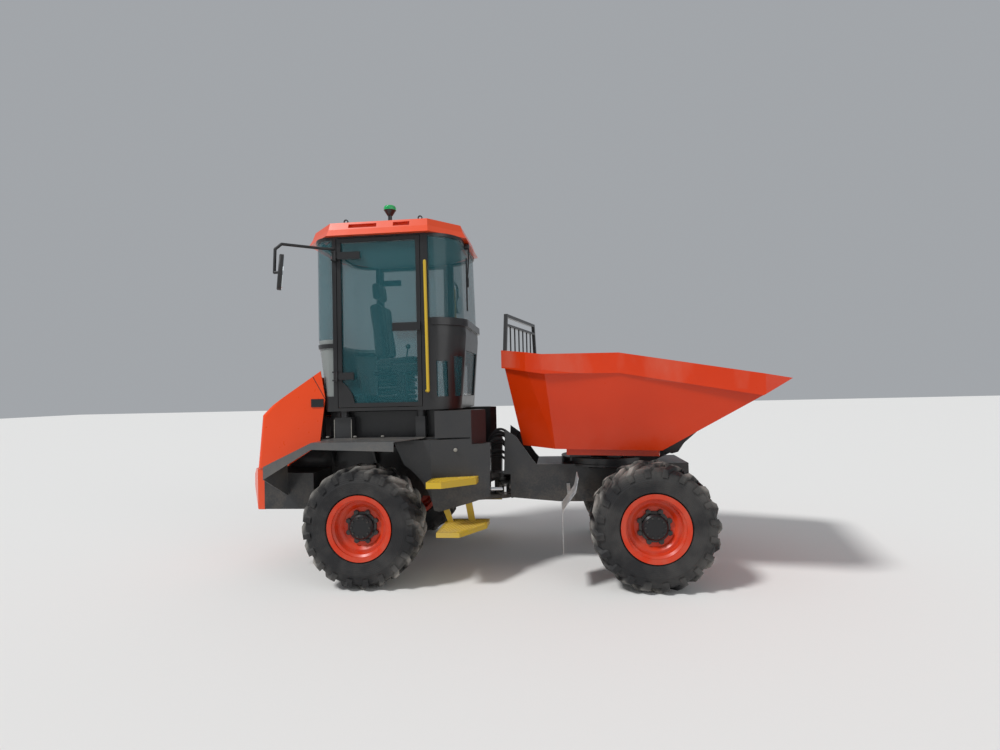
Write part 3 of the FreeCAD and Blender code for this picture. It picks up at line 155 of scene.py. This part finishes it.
def new_finish(name, constants):
    """A material, its Object coordinates and a function that feeds its shader."""
    material = bpy.data.materials.new(name)
    material.use_nodes = True
    tree = material.node_tree
    shader = tree.nodes["Principled BSDF"]
    for socket, value in constants.items():
        shader.inputs[socket].default_value = value
    place = Shade(tree, tree.nodes.new("ShaderNodeTexCoord").outputs["Object"])

    def feed(socket, value):
        place.feed(shader.inputs[socket], value)

    return material, place, feed


DUST = (0.33, 0.26, 0.19, 1.0)


def axis(place, index):
    return place.node("SeparateXYZ", {}, {"Vector": place}, index)


def dust_on(place, dust_top, amount):
    """Where dust lies: patchy, thicker low down and on what faces up."""
    patches = noise(place, 5.0, 6.0)
    grit = noise(place, 60.0, 5.0)
    facing = axis(place.node("TexCoord", {}, {}, "Normal"), 2)
    low = ((dust_top - axis(place, 2)) * 1.4).held()
    level = ((facing - 0.4) * 1.2).held()
    return (((patches + grit * 0.5 - 0.62) * 3.0).held() * (low * 0.8 + level * 0.35 + 0.05)).held() * amount


def enamel(name, colour, roughness, dust_top, amount, coat=0.25):
    material, place, feed = new_finish(name, {"Coat Roughness": 0.12, "Coat Weight": coat})
    tone = noise(place, 1.6, 3.0)
    deep = tuple(c * 0.86 for c in colour[:3]) + (1.0,)
    dust = dust_on(place, dust_top, amount)
    peel = noise(place, 240.0)
    dents = noise(place, 7.0, 1.0)
    bump = place.node("Bump", {}, {"Strength": 0.12, "Distance": 0.004, "Height": dents + peel * 0.04})
    feed("Base Color", layered(layered(deep, colour, tone), DUST, dust))
    feed("Roughness", (roughness + dust * 0.5 + noise(place, 18.0, 4.0) * 0.12).held())
    feed("Normal", bump)
    return material


def dress(material, *nodes):
    """Give CAD nodes a finish."""
    for name in nodes:
        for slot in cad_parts[name].material_slots:
            slot.material = material


CHARCOAL = (0.020, 0.021, 0.023, 1.0)
charcoal_enamel = enamel("charcoal_enamel", CHARCOAL, 0.38, 1.0, 0.45)
dress(charcoal_enamel, "rear_chassis", "rear_axle", "front_chassis", "front_axle")
dress(charcoal_enamel, "turntable", "skip_brackets")

# The studio floor's own finish: matt, pale and even, so that the machine's shadow shows on it.
floor_finish, _, _ = new_finish("studio_paper", {"Base Color": (0.80, 0.79, 0.77, 1.0), "Roughness": 0.9})
floor.data.materials.append(floor_finish)

# Engine: a cast block and head in grey, closed in by the hood. Its tail carries the radiator that stands
# behind the hood's louvres, and an air cleaner lies along its top.
engine_grey = enamel("engine_grey", (0.10, 0.11, 0.12, 1.0), 0.5, 1.5, 0.4, 0.0)
dress(engine_grey, "engine_block")


def settled(name, body, slot, *materials):
    """Name the active piece, put its place in its mesh and give it its finish; on a body it rides."""
    piece = bpy.context.object
    bpy.ops.object.transform_apply(location=True, rotation=True, scale=True)
    piece.name = name
    piece.data.name = name
    if materials:
        piece.data.materials.clear()
        for material in materials:
            piece.data.materials.append(material)
    if body:
        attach(piece, body)
    bpy.ops.object.select_all(action="DESELECT")
    return piece


def block(centre, size, bevel=0.004, segments=2):
    """A plate or box with softened edges, left as the active piece."""
    bpy.ops.object.select_all(action="DESELECT")
    bpy.ops.mesh.primitive_cube_add(size=1.0, location=centre, scale=size)
    bpy.ops.object.transform_apply(location=True, rotation=True, scale=True)
    bpy.ops.object.mode_set(mode="EDIT")
    bpy.ops.mesh.select_all(action="SELECT")
    bpy.ops.mesh.bevel(offset=bevel, segments=segments)
    bpy.ops.object.mode_set(mode="OBJECT")
    return bpy.context.object


def drum(centre, radius, depth, along="Z", vertices=32, bevel=0.004):
    """A round piece with softened rims, left as the active piece."""
    turn = {"X": (0.0, math.pi / 2, 0.0), "Y": (math.pi / 2, 0.0, 0.0), "Z": (0.0, 0.0, 0.0)}[along]
    bpy.ops.object.select_all(action="DESELECT")
    bpy.ops.mesh.primitive_cylinder_add(
        vertices=vertices, radius=radius, depth=depth, location=centre, rotation=turn)
    bpy.ops.object.transform_apply(location=True, rotation=True, scale=True)
    softener = bpy.context.object.modifiers.new("rims", "BEVEL")
    softener.width = bevel
    softener.segments = 2
    softener.limit_method = "ANGLE"
    softener.angle_limit = math.radians(50)
    bpy.ops.object.modifier_apply(modifier="rims")
    bpy.ops.object.shade_smooth_by_angle(angle=math.radians(35))
    return bpy.context.object


def at(x, y, z):
    """A place given from the rear axle, the ground and the machine's middle."""
    return (REAR_AXLE_X + x, y, z)


def tube(points, radius):
    """A tube that bends along the points, left as the active piece."""
    line = bpy.data.curves.new("tube", "CURVE")
    line.dimensions = "3D"
    line.bevel_depth = radius
    line.bevel_resolution = 3
    line.use_fill_caps = True
    path = line.splines.new("NURBS")
    path.points.add(len(points) - 1)
    for point, place_of_point in zip(path.points, points):
        point.co = (*place_of_point, 1.0)
    path.order_u = 3
    path.use_endpoint_u = True
    piece = bpy.data.objects.new("tube", line)
    bpy.context.scene.collection.objects.link(piece)
    bpy.ops.object.select_all(action="DESELECT")
    piece.select_set(True)
    bpy.context.view_layer.objects.active = piece
    bpy.ops.object.convert(target="MESH")
    bpy.ops.object.shade_smooth_by_angle(angle=math.radians(60))
    return bpy.context.object


def sheet_cut(outline, low, high, bevel=0.002):
    """A plate cut to an outline in X and Y between two heights, left as the active piece."""
    mesh = bpy.data.meshes.new("sheet")
    mesh.from_pydata([(x, y, low) for x, y in outline], [], [tuple(range(len(outline)))])
    piece = bpy.data.objects.new("sheet", mesh)
    bpy.context.scene.collection.objects.link(piece)
    bpy.ops.object.select_all(action="DESELECT")
    piece.select_set(True)
    bpy.context.view_layer.objects.active = piece
    bpy.ops.object.mode_set(mode="EDIT")
    bpy.ops.mesh.select_all(action="SELECT")
    bpy.ops.mesh.extrude_region_move(TRANSFORM_OT_translate={"value": (0.0, 0.0, high - low)})
    bpy.ops.mesh.select_all(action="SELECT")
    bpy.ops.mesh.normals_make_consistent(inside=False)
    bpy.ops.mesh.bevel(offset=bevel, segments=2)
    bpy.ops.object.mode_set(mode="OBJECT")
    return piece


def hexagons(places, across, depth, along):
    """Bolt heads of one size, as one active piece."""
    heads = []
    for place_of_head in places:
        heads.append(drum(place_of_head, across / 2, depth, along, 6, 0.001))
    return joined(heads)


def joined(pieces):
    """Several pieces as one, left active."""
    bpy.ops.object.select_all(action="DESELECT")
    for piece in pieces:
        piece.select_set(True)
    bpy.context.view_layer.objects.active = pieces[0]
    bpy.ops.object.join()
    return bpy.context.object


FIN_COUNT = 24
FIN_PITCH = 0.0165
core = [block(at(-1.02, 0.0, 1.21), (0.05, 0.60, 0.42))]
for fin in range(FIN_COUNT):
    core.append(block(at(-1.052, 0.0, 1.02 + FIN_PITCH * fin), (0.014, 0.56, 0.004), 0.001, 1))
joined(core)
settled("radiator", "rear_frame", "engine_paint", engine_grey)
cleaner = [
    drum(at(-0.62, 0.1, 1.545), 0.105, 0.42, "X", 32, 0.012),
    drum(at(-0.40, 0.1, 1.545), 0.112, 0.05, "X", 32, 0.01),
    drum(at(-0.62, 0.1, 1.44), 0.05, 0.1, "Z", 24),
]
joined(cleaner)
plastic_black, place, feed = new_finish("plastic_black", {"Base Color": (0.018, 0.018, 0.019, 1.0)})
grain = noise(place, 900.0)
feed("Roughness", (0.42 + noise(place, 12.0, 3.0) * 0.2).held())
feed("Normal", place.node("Bump", {}, {"Strength": 0.15, "Distance": 0.0006, "Height": grain}))
settled("air_cleaner", "rear_frame", "plastic_black", plastic_black)

# Rear bumper: a thick counterweight in the machine's orange, with round red lamps let into it.
ORANGE = (0.84, 0.066, 0.0030, 1.0)
orange_enamel = enamel("orange_enamel", ORANGE, 0.28, 0.9, 0.25, 0.3)
dress(orange_enamel, "rear_bumper", "cab_roof")
lamp_red, place, feed = new_finish("lamp_red", {"Roughness": 0.12, "Coat Weight": 0.6})
ribs = place.node("TexWave", {"bands_direction": "Y"}, {"Vector": place, "Scale": 60.0})
feed("Base Color", layered((0.42, 0.006, 0.006, 1.0), (0.72, 0.02, 0.015, 1.0), ribs))
feed("Normal", place.node("Bump", {}, {"Strength": 0.4, "Distance": 0.002, "Height": ribs}))
dress(lamp_red, "rear_lamps")
bezels = []
for side in (-1, 1):
    bpy.ops.object.select_all(action="DESELECT")
    bpy.ops.mesh.primitive_torus_add(
        major_radius=0.052, minor_radius=0.006, major_segments=40, minor_segments=8,
        location=at(-1.258, side * 0.395, 0.848), rotation=(0.0, math.pi / 2, 0.0))
    bpy.ops.object.shade_smooth()
    bezels.append(bpy.context.object)
joined(bezels)
settled("lamp_bezels", "rear_frame", "plastic_black", plastic_black)

# Side tanks and mudguards: folded plate, the tanks in the same charcoal and the guards in a paler grey that
# is painted light, a lit copy of the charcoal standing for the light on them. Bolts run along each guard's
# top.
# Painted light: the guards take a lighter grey than the charcoal to stand for the light that falls on them.
SUNLIT_GREY = (0.085, 0.087, 0.088, 1.0)
sunlit_guard_enamel = enamel("sunlit_guard_enamel", SUNLIT_GREY, 0.42, 1.5, 0.35)
dress(sunlit_guard_enamel, "mudguards")
dress(charcoal_enamel, "side_tanks")
bolts = []
for side in (-1, 1):
    for x in (-0.42, -0.16, 0.10):
        bolts.append(at(x, side * 0.70, 1.268))
hexagons(bolts, 0.030, 0.012, "Z")
zinc_bolt = enamel("zinc_bolt", (0.30, 0.29, 0.26, 1.0), 0.4, 1.2, 0.4, 0.0)
settled("guard_bolts", "rear_frame", "zinc_plate", zinc_bolt)

# Pedestal edges: the mounts under the door are flanged; thin pale strips on their front edges are painted
# highlights for the light those edges catch.
edge_highlights = []
for side in (-1, 1):
    for x in (-0.392, -0.228):
        edge_highlights.append(block(at(x, side * 0.607, 1.335), (0.007, 0.006, 0.175), 0.001))
joined(edge_highlights)
settled("painted_edge_highlights", "rear_frame", "zinc_plate", zinc_bolt)

# Tank fittings: a round lock for the right tank's cover.
lock = [
    drum(at(0.772, -0.708, 1.135), 0.017, 0.016, "Y", 24, 0.003),
    drum(at(0.772, -0.714, 1.135), 0.009, 0.012, "Y", 16, 0.002),
]
joined(lock)
settled("box_lock", "rear_frame", "zinc_plate", zinc_bolt)

# Steps: yellow plate with rows of raised, open studs that grip a boot.
YELLOW = (0.62, 0.41, 0.012, 1.0)
yellow_enamel = enamel("yellow_enamel", YELLOW, 0.35, 0.8, 0.6)
dress(yellow_enamel, "steps")
UPPER_TREAD = [(0.565, -1.0), (0.697, -1.0), (0.965, -0.77), (0.965, -0.65), (0.565, -0.76)]
LOWER_TREAD = [(0.665, -1.09), (0.860, -1.09), (1.050, -0.77), (1.050, -0.60), (0.665, -0.60)]


def well_inside(outline, x, y, margin):
    """Whether a place lies inside a convex outline by the margin."""
    for (x0, y0), (x1, y1) in zip(outline, outline[1:] + outline[:1]):
        run = math.hypot(x1 - x0, y1 - y0)
        if ((x1 - x0) * (y - y0) - (y1 - y0) * (x - x0)) / run < margin:
            return False
    return True


studs = []
STUD_PITCH = 0.034
STUD_ROWS = 20
STUD_START_X = 0.58
STUD_START_Y = -1.08
STUD_EDGE = 0.018
for outline, top in ((UPPER_TREAD, 0.892), (LOWER_TREAD, 0.490)):
    for row in range(STUD_ROWS):
        for column in range(STUD_ROWS):
            x = STUD_START_X + STUD_PITCH * column + STUD_PITCH / 2 * (row % 2)
            y = STUD_START_Y + STUD_PITCH * 0.9 * row
            if not well_inside(outline, x, y, STUD_EDGE):
                continue
            for side in (-1, 1):
                bpy.ops.object.select_all(action="DESELECT")
                bpy.ops.mesh.primitive_torus_add(
                    major_radius=0.0085, minor_radius=0.003, major_segments=8, minor_segments=4,
                    location=at(x, -side * y, top))
                studs.append(bpy.context.object)
joined(studs)
settled("tread_studs", "rear_frame", "yellow_paint", yellow_enamel)

# Cab: a frame of black section with bonded tinted glass, which is paler below the waist at the rear.
GLASS_TINT = (0.030, 0.14, 0.165, 1.0)
GLASS_ALPHA = 0.32
WAIST_Z = 2.17
black_enamel = enamel("black_enamel", (0.011, 0.011, 0.012, 1.0), 0.3, 1.6, 0.12, 0.2)
dress(black_enamel, "cab_frame", "door_right", "door_left")
floor_mat, place, feed = new_finish("floor_mat", {"Roughness": 0.8})
feed("Base Color", layered((0.02, 0.02, 0.02, 1.0), DUST, dust_on(place, 2.0, 0.5)))
dress(floor_mat, "cab_floor")
tinted_glass, place, feed = new_finish(
    "tinted_glass", {"Base Color": GLASS_TINT, "Alpha": GLASS_ALPHA, "Specular IOR Level": 0.5})
feed("Roughness", (0.015 + (noise(place, 4.0, 6.0) - 0.55).held() * 0.3).held())
dress(tinted_glass, "front_glass", "door_glass_right", "door_glass_left")
frosted_glass, place, feed = new_finish("frosted_glass", {"Roughness": 0.08})
frosted = axis(place, 2) < WAIST_Z
feed("Base Color", layered(GLASS_TINT, (0.27, 0.29, 0.28, 1.0), frosted))
feed("Alpha", frosted * 0.5 + GLASS_ALPHA)
dress(frosted_glass, "rear_glass")

# Under the roof: a moulded liner in grey-green vinyl, held by a strip round the cab's upper ring.
liner_vinyl, place, feed = new_finish("liner_vinyl", {"Roughness": 0.7})
feed("Base Color", layered((0.10, 0.17, 0.18, 1.0), (0.13, 0.21, 0.22, 1.0), noise(place, 5.0, 3.0)))
feed("Normal", place.node("Bump", {}, {"Strength": 0.2, "Distance": 0.001, "Height": noise(place, 500.0)}))
half_liner = [(-0.565, 0.36), (-0.36, 0.635), (0.50, 0.635), (0.765, 0.34)]
liner_outline = [(REAR_AXLE_X + x, y) for x, y in half_liner]
liner_outline += [(x, -y) for x, y in reversed(liner_outline)]
sheet_cut(liner_outline, 3.116, 3.130, 0.005)
settled("headliner", "rear_frame", "plastic_black", liner_vinyl)

# Windscreen wiper: a motor under the roof's front edge, a sprung arm and a rubber blade on the glass.
wiper = [
    drum(at(0.832, -0.20, 3.10), 0.030, 0.05, "X", 24, 0.005),
    tube([at(0.852, -0.20, 3.10), at(0.862, -0.23, 3.02), at(0.850, -0.30, 2.74)], 0.007),
    block(at(0.843, -0.30, 2.70), (0.014, 0.016, 0.52), 0.003),
    block(at(0.856, -0.30, 2.72), (0.016, 0.024, 0.09), 0.004),
]
joined(wiper)
settled("wiper", "rear_frame", "plastic_black", plastic_black)

# Roof fittings: lifting eyes and the beacon's stalk in black, under a green dome with moulded ribs.
dress(black_enamel, "roof_fittings")
lens_green, place, feed = new_finish(
    "lens_green", {"Roughness": 0.08, "Coat Weight": 0.5, "Transmission Weight": 0.35})
ribs = place.node("TexWave", {"bands_direction": "X"}, {"Vector": place, "Scale": 30.0})
feed("Base Color", layered((0.0, 0.36, 0.08, 1.0), (0.02, 0.75, 0.20, 1.0), ribs))
feed("Normal", place.node("Bump", {}, {"Strength": 0.5, "Distance": 0.002, "Height": ribs}))
dress(lens_green, "beacon_dome")

# Inside the cab: console, steering wheel and seat in dark plastic and cloth.
dress(plastic_black, "steering_console", "steering_wheel", "mirrors")
seat_cloth, place, feed = new_finish("seat_cloth", {"Roughness": 0.9, "Sheen Weight": 0.3})
weave = place.node("TexWave", {"bands_direction": "DIAGONAL"}, {"Vector": place, "Scale": 160.0})
feed("Base Color", layered((0.02, 0.02, 0.022, 1.0), (0.05, 0.05, 0.055, 1.0), weave))
feed("Normal", place.node("Bump", {}, {"Strength": 0.4, "Distance": 0.001, "Height": weave}))


SWELL_LIMIT = 0.014
GROOVE_AT = 0.22
GROOVE_DEPTH = 0.010


def pad(name, centre, size, lean_deg):
    """A stuffed cushion: a rounded block, blown up a little as cloth, with two stitched grooves along it."""
    piece = block((0.0, 0.0, 0.0), size, min(size) * 0.30, 4)
    remesher = piece.modifiers.new("even_faces", "REMESH")
    remesher.mode = "VOXEL"
    remesher.voxel_size = 0.012
    bpy.ops.object.modifier_apply(modifier="even_faces")
    before = [vertex.co.copy() for vertex in piece.data.vertices]
    cloth = piece.modifiers.new("stuffing", "CLOTH")
    cloth.settings.use_pressure = True
    cloth.settings.uniform_pressure_force = 4.0
    cloth.settings.effector_weights.gravity = 0.0
    for moment in range(1, 21):
        bpy.context.scene.frame_set(moment)
    bpy.ops.object.modifier_apply(modifier="stuffing")
    bpy.context.scene.frame_set(1)
    for vertex, rest in zip(piece.data.vertices, before):
        swell = vertex.co - rest
        if swell.length > SWELL_LIMIT:
            vertex.co = rest + swell.normalized() * SWELL_LIMIT
    thin = 2 if size[2] < size[0] else 0
    for vertex in piece.data.vertices:
        for groove in (-GROOVE_AT, GROOVE_AT):
            away = abs(vertex.co.y / size[1] - groove) * size[1]
            depth = GROOVE_DEPTH * math.exp(-(away / GROOVE_DEPTH) ** 2)
            vertex.co[thin] -= math.copysign(depth, vertex.co[thin])
    finer = piece.modifiers.new("finer", "SUBSURF")
    finer.levels = 1
    finer.render_levels = 1
    bpy.ops.object.modifier_apply(modifier="finer")
    bpy.ops.object.shade_smooth()
    piece.rotation_euler = (0.0, math.radians(lean_deg), 0.0)
    piece.location = centre
    piece = settled(name, "rear_frame", "seat_fabric", seat_cloth)


seat_frame = [
    block(at(0.05, 0.0, 1.545), (0.38, 0.36, 0.03), 0.006),
    block(at(0.05, 0.0, 1.865), (0.40, 0.38, 0.05), 0.01),
    block(at(-0.10, 0.0, 2.05), (0.03, 0.30, 0.36), 0.008),
]
for fold in range(7):
    wide = 0.30 + 0.03 * (fold % 2)
    seat_frame.append(block(at(0.05, 0.0, 1.58 + 0.043 * fold), (wide, wide, 0.04), 0.014))
for side in (-1, 1):
    seat_frame.append(drum(at(-0.128, side * 0.06, 2.62), 0.007, 0.12, "Z", 16))
    seat_frame.append(block(at(0.08, side * 0.225, 1.905), (0.30, 0.03, 0.05), 0.01))
joined(seat_frame)
seat_base = settled("seat_base", "rear_frame", "plastic_black", plastic_black)
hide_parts("seat")
pad("seat_cushion", at(0.10, 0.0, 1.955), (0.45, 0.46, 0.10), -4.0)
pad("seat_back", at(-0.095, 0.0, 2.30), (0.10, 0.44, 0.56), -6.0)
pad("seat_headrest", at(-0.130, 0.0, 2.71), (0.075, 0.27, 0.17), -5.0)

# Controls: two short levers on a ledge at the seat's right, and a dark display on the console.
levers = [
    block(at(0.28, -0.36, 1.90), (0.34, 0.12, 0.09), 0.012),
    block(at(0.20, -0.36, 1.70), (0.10, 0.08, 0.36), 0.01),
]
for x in (0.24, 0.36):
    levers.append(tube([at(x, -0.36, 1.93), at(x + 0.004, -0.36, 2.02), at(x + 0.02, -0.355, 2.10)], 0.007))
    bpy.ops.object.select_all(action="DESELECT")
    bpy.ops.mesh.primitive_uv_sphere_add(
        segments=20, ring_count=12, radius=0.024, location=at(x + 0.02, -0.355, 2.11))
    bpy.ops.object.shade_smooth()
    levers.append(bpy.context.object)
joined(levers)
settled("levers", "rear_frame", "plastic_black", plastic_black)
display_glass, place, feed = new_finish("display_glass", {"Roughness": 0.08, "Coat Weight": 0.5})
feed("Base Color", layered((0.012, 0.02, 0.025, 1.0), (0.02, 0.035, 0.04, 1.0), noise(place, 8.0)))
display = block((0.0, 0.0, 0.0), (0.10, 0.16, 0.018), 0.004)
display.rotation_euler = (0.0, math.radians(-11.3), 0.0)
display.location = at(0.545, 0.0, 2.178)
settled("display", "rear_frame", "plastic_black", display_glass)

# Mirrors: oval glass let into the side of each head that faces the operator.
mirror_glass, place, feed = new_finish(
    "mirror_glass", {"Metallic": 1.0, "Base Color": (0.72, 0.78, 0.80, 1.0)})
feed("Roughness", (0.03 + noise(place, 6.0, 4.0) * 0.04).held())
panes = []
for centre, half_width, half_height, turn in (
    (at(-0.696, -1.020, 2.742), 0.083, 0.146, 28.0),
    (at(0.500, 1.128, 2.730), 0.074, 0.092, -15.0),
):
    bpy.ops.object.select_all(action="DESELECT")
    bpy.ops.mesh.primitive_cylinder_add(vertices=48, radius=1.0, depth=0.004, location=(0.0, 0.0, -0.0205))
    bpy.ops.object.transform_apply(location=True, rotation=True, scale=True)
    pane = bpy.context.object
    pane.data.transform(Matrix.Diagonal((half_height, half_width, 1.0, 1.0)))
    about = Matrix.Rotation(math.radians(turn), 4, "Z") @ Matrix.Rotation(math.radians(-85.0), 4, "Y")
    pane.data.transform(Matrix.Translation(centre) @ about)
    panes.append(pane)
joined(panes)
settled("mirror_glass", "rear_frame", "chrome_rod", mirror_glass)

# Grab rails: yellow tube on the cab's front pillars.
dress(yellow_enamel, "grab_rails")

# Hood: orange shell hinged at the cab, with black latches on its sides and a panel gap ahead of its apex.
hood_enamel, place, feed = new_finish(
    "hood_enamel", {"Coat Roughness": 0.1, "Coat Weight": 0.15, "Specular IOR Level": 0.4})
HOOD_SIDE_Y = 0.6555
GAP_HALF_WIDTH = 0.0035
latch = place.math("ABSOLUTE", axis(place, 1)) > HOOD_SIDE_Y
dust = dust_on(place, 1.2, 0.15)
tone = layered((0.74, 0.052, 0.0020, 1.0), ORANGE, noise(place, 1.6, 3.0))
gap_line = (axis(place, 0) - (REAR_AXLE_X - 0.581)) * 0.873 + (axis(place, 2) - 1.839) * 0.488
panel_gap = place.math("ABSOLUTE", gap_line) < GAP_HALF_WIDTH
dark = (latch + panel_gap).held()
feed("Base Color", layered(layered(tone, DUST, dust), (0.012, 0.012, 0.013, 1.0), dark))
feed("Roughness", (0.24 + dust * 0.5 + noise(place, 18.0, 4.0) * 0.1).held())
feed("Normal", place.node("Bump", {}, {"Strength": 0.1, "Distance": 0.004, "Height": noise(place, 6.0, 1.0)}))
dress(hood_enamel, "hood")

# Articulation: machined steel pivot with greased pins, and hydraulic cylinders with chromed rods.
bare_steel, place, feed = new_finish("bare_steel", {"Metallic": 0.8})
feed("Base Color", layered((0.12, 0.11, 0.10, 1.0), (0.34, 0.33, 0.32, 1.0), noise(place, 14.0, 5.0)))
feed("Roughness", (0.3 + noise(place, 30.0, 4.0) * 0.3).held())
dress(bare_steel, "centre_pivot")
chrome_rod, place, feed = new_finish("chrome_rod", {"Metallic": 1.0, "Base Color": (0.75, 0.75, 0.76, 1.0)})
feed("Roughness", (0.05 + noise(place, 40.0, 3.0) * 0.12).held())
dress(chrome_rod, "steering_rod", "tip_rod")
dress(black_enamel, "steering_barrel", "tip_barrel")

# Hoses over the articulation: black hoses in arcs of unlike height, from a manifold between the rear frame's
# rails to the pivot's housing, with crimped steel ends.
hose_rubber, place, feed = new_finish("hose_rubber", {"Base Color": (0.014, 0.014, 0.015, 1.0)})
feed("Roughness", (0.45 + noise(place, 20.0, 3.0) * 0.25).held())
feed("Normal", place.node("Bump", {}, {"Strength": 0.2, "Distance": 0.001, "Height": noise(place, 260.0)}))
hoses = []
ends = [block(at(0.825, 0.0, 0.97), (0.05, 0.44, 0.12), 0.006)]
for y, rise in ((-0.190, 1.18), (-0.150, 1.06), (-0.105, 1.24), (-0.060, 0.99), (-0.020, 1.12),
                (0.025, 1.20), (0.070, 1.02), (0.115, 1.25), (0.160, 1.10), (0.195, 1.20)):
    reach = 1.21 + 0.02 * math.sin(40.0 * y)
    route = [at(0.86, y * 0.9, 0.97), at(0.93, y * 0.9, 0.98), at(1.01, y, rise), at(1.14, y, rise + 0.02),
             at(reach, y * 0.8, rise - 0.10), at(reach + 0.01, y * 0.4, 0.92),
             at(reach + 0.01, y * 0.36, 0.832)]
    hoses.append(tube(route, 0.013))
    ends.append(drum(at(0.868, y * 0.9, 0.971), 0.018, 0.05, "X", 6, 0.002))
joined(hoses)
hose_arcs = settled("hose_arcs", None, "rubber_black", hose_rubber)
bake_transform(hose_arcs)
joined(ends)
settled("hose_ends", "rear_frame", "zinc_plate", zinc_bolt)

# Splash guards: galvanised plate behind the front wheels, with a pale bloom and dried splashes.
zinc_plate, place, feed = new_finish("zinc_plate", {"Metallic": 0.45})
spangle = place.node("TexVoronoi", {}, {"Vector": place, "Scale": 28.0}, "Color")
value = place.node("SeparateXYZ", {}, {"Vector": spangle}, 0)
tone = layered((0.30, 0.31, 0.32, 1.0), (0.52, 0.53, 0.54, 1.0), value)
feed("Base Color", layered(tone, DUST, dust_on(place, 1.4, 0.6)))
feed("Roughness", (0.38 + value * 0.25).held())
dress(zinc_plate, "splash_guards")

# Skip: welded plate in orange, painted a darker orange than the hood as painted shade for its sides; the
# inside is scraped to dull steel by loads and holds dried earth.
shaded_skip_enamel, place, feed = new_finish(
    "shaded_skip_enamel", {"Coat Roughness": 0.1, "Coat Weight": 0.1, "Specular IOR Level": 0.35})
outward = place.node("VectorMath", {"operation": "SUBTRACT"}, {0: place, 1: (0.85, 0.0, 1.55)})
normal = place.node("TexCoord", {}, {}, "Normal")
inside = place.node("VectorMath", {"operation": "DOT_PRODUCT"}, {0: outward, 1: normal}, "Value") < -0.02
streaks = noise(place, 2.2, 8.0, (0.6, 3.0, 3.0))
scratches = noise(place, 30.0, 8.0, (0.25, 1.5, 1.5))
bottom = ((1.85 - axis(place, 2)) * 1.3).held()
scraped = (((streaks + scratches * 0.9 + bottom * 0.35 - 1.02) * 4.0).held() * inside).held()
earth = ((noise(place, 9.0, 8.0) + bottom * 0.3 - 0.55) * 2.5).held() * inside
dust = (dust_on(place, 1.4, 0.16) + earth * 0.7).held()
# Painted shade: the skip's orange is darker than the hood's to stand for the shade that its sloping sides are
# in.
tone = layered((0.50, 0.027, 0.0010, 1.0), (0.72, 0.044, 0.0020, 1.0), noise(place, 1.3, 3.0))
rim_height = axis(place, 2) + axis(place, 0) * 0.13
smudges = ((noise(place, 2.6, 5.0, (1.0, 1.0, 0.4)) - 0.50) * 3.0).held() * (rim_height > 1.86)
tone = layered(tone, (0.56, 0.20, 0.14, 1.0), smudges * 0.55)
worn = layered(layered(tone, (0.16, 0.145, 0.135, 1.0), scraped * 0.9), DUST, dust)
feed("Base Color", worn)
feed("Roughness", (0.24 + dust * 0.4 + scraped * 0.2 + noise(place, 18.0, 4.0) * 0.12).held())
dents = noise(place, 3.5, 2.0)
feed("Normal", place.node("Bump", {}, {"Strength": 0.25, "Distance": 0.008, "Height": dents}))
dress(shaded_skip_enamel, "skip")
dress(black_enamel, "skip_guard")

# Wheels: ribbed-lug tyres on orange steel rims with black hub drums and nuts. Mud dries pale on the lugs.
HUB_RADIUS = 0.1075
HUB_FACE_Y = 0.985
CAP_FACE_Y = 1.041
NUT_COUNT = 8
NUT_CIRCLE = 0.129
CAP_BOLT_COUNT = 10
CAP_BOLT_CIRCLE = 0.080
BLACK = (0.012, 0.012, 0.013, 1.0)
for name in ("front_right", "front_left", "rear_right", "rear_left"):
    low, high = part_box("wheel_" + name)
    centre = (low + high) / 2
    for part, at_part in (("wheel_", "rim_finish_"), ("tyre_", "rubber_")):
        material, place, feed = new_finish(at_part + name, {"Specular IOR Level": 0.35})
        local = place.node("Mapping", {}, {"Vector": place, "Location": (-centre.x, -centre.y, -centre.z)})
        flat = local.node("VectorMath", {"operation": "MULTIPLY"}, {0: local, 1: (1.0, 0.0, 1.0)})
        radius = flat.node("VectorMath", {"operation": "LENGTH"}, {0: flat}, "Value")
        if part == "wheel_":
            hub = radius < HUB_RADIUS
            grime = ((noise(place, 9.0, 5.0) - 0.35) * 0.5).held()
            rim_colour = layered((0.58, 0.030, 0.0030, 1.0), DUST, grime)
            feed("Base Color", layered(rim_colour, BLACK, hub))
            feed("Roughness", (0.3 + grime * 0.6).held())
        else:
            crown = ((radius - 0.475) * 30.0).held()
            shoulder = ((radius - 0.40) * 14.0).held()
            mud = ((noise(place, 5.0, 6.0) - 0.40) * 4.0).held() * (crown * 0.70 + shoulder * 0.12 + 0.08)
            feed("Base Color", layered((0.013, 0.013, 0.014, 1.0), (0.36, 0.34, 0.31, 1.0), mud.held()))
            feed("Roughness", (0.62 + mud * 0.3).held())
            rings = place.math("SINE", radius * 420.0) * (radius < 0.44)
            feed("Normal", place.node("Bump", {}, {
                "Strength": 0.3, "Distance": 0.003, "Height": rings * 0.4 + noise(place, 90.0, 4.0)}))
        dress(material, part + name)
    side = math.copysign(1.0, centre.y)
    face = side * HUB_FACE_Y
    pieces = [drum((centre.x, face, centre.z), 0.127, 0.02, "Y", 48, 0.004)]
    for nut in range(NUT_COUNT):
        turn = math.radians(360.0 / NUT_COUNT * (nut + 0.5))
        x = centre.x + NUT_CIRCLE * math.cos(turn)
        z = centre.z + NUT_CIRCLE * math.sin(turn)
        pieces.append(drum((x, face + side * 0.004, z), 0.024, 0.03, "Y", 6, 0.003))
    for bolt in range(CAP_BOLT_COUNT):
        turn = math.radians(360.0 / CAP_BOLT_COUNT * bolt)
        x = centre.x + CAP_BOLT_CIRCLE * math.cos(turn)
        z = centre.z + CAP_BOLT_CIRCLE * math.sin(turn)
        pieces.append(drum((x, side * CAP_FACE_Y, z), 0.009, 0.012, "Y", 6, 0.001))
    joined(pieces)
    settled("hub_nuts_" + name, "wheel_" + name, "black_paint", black_enamel)
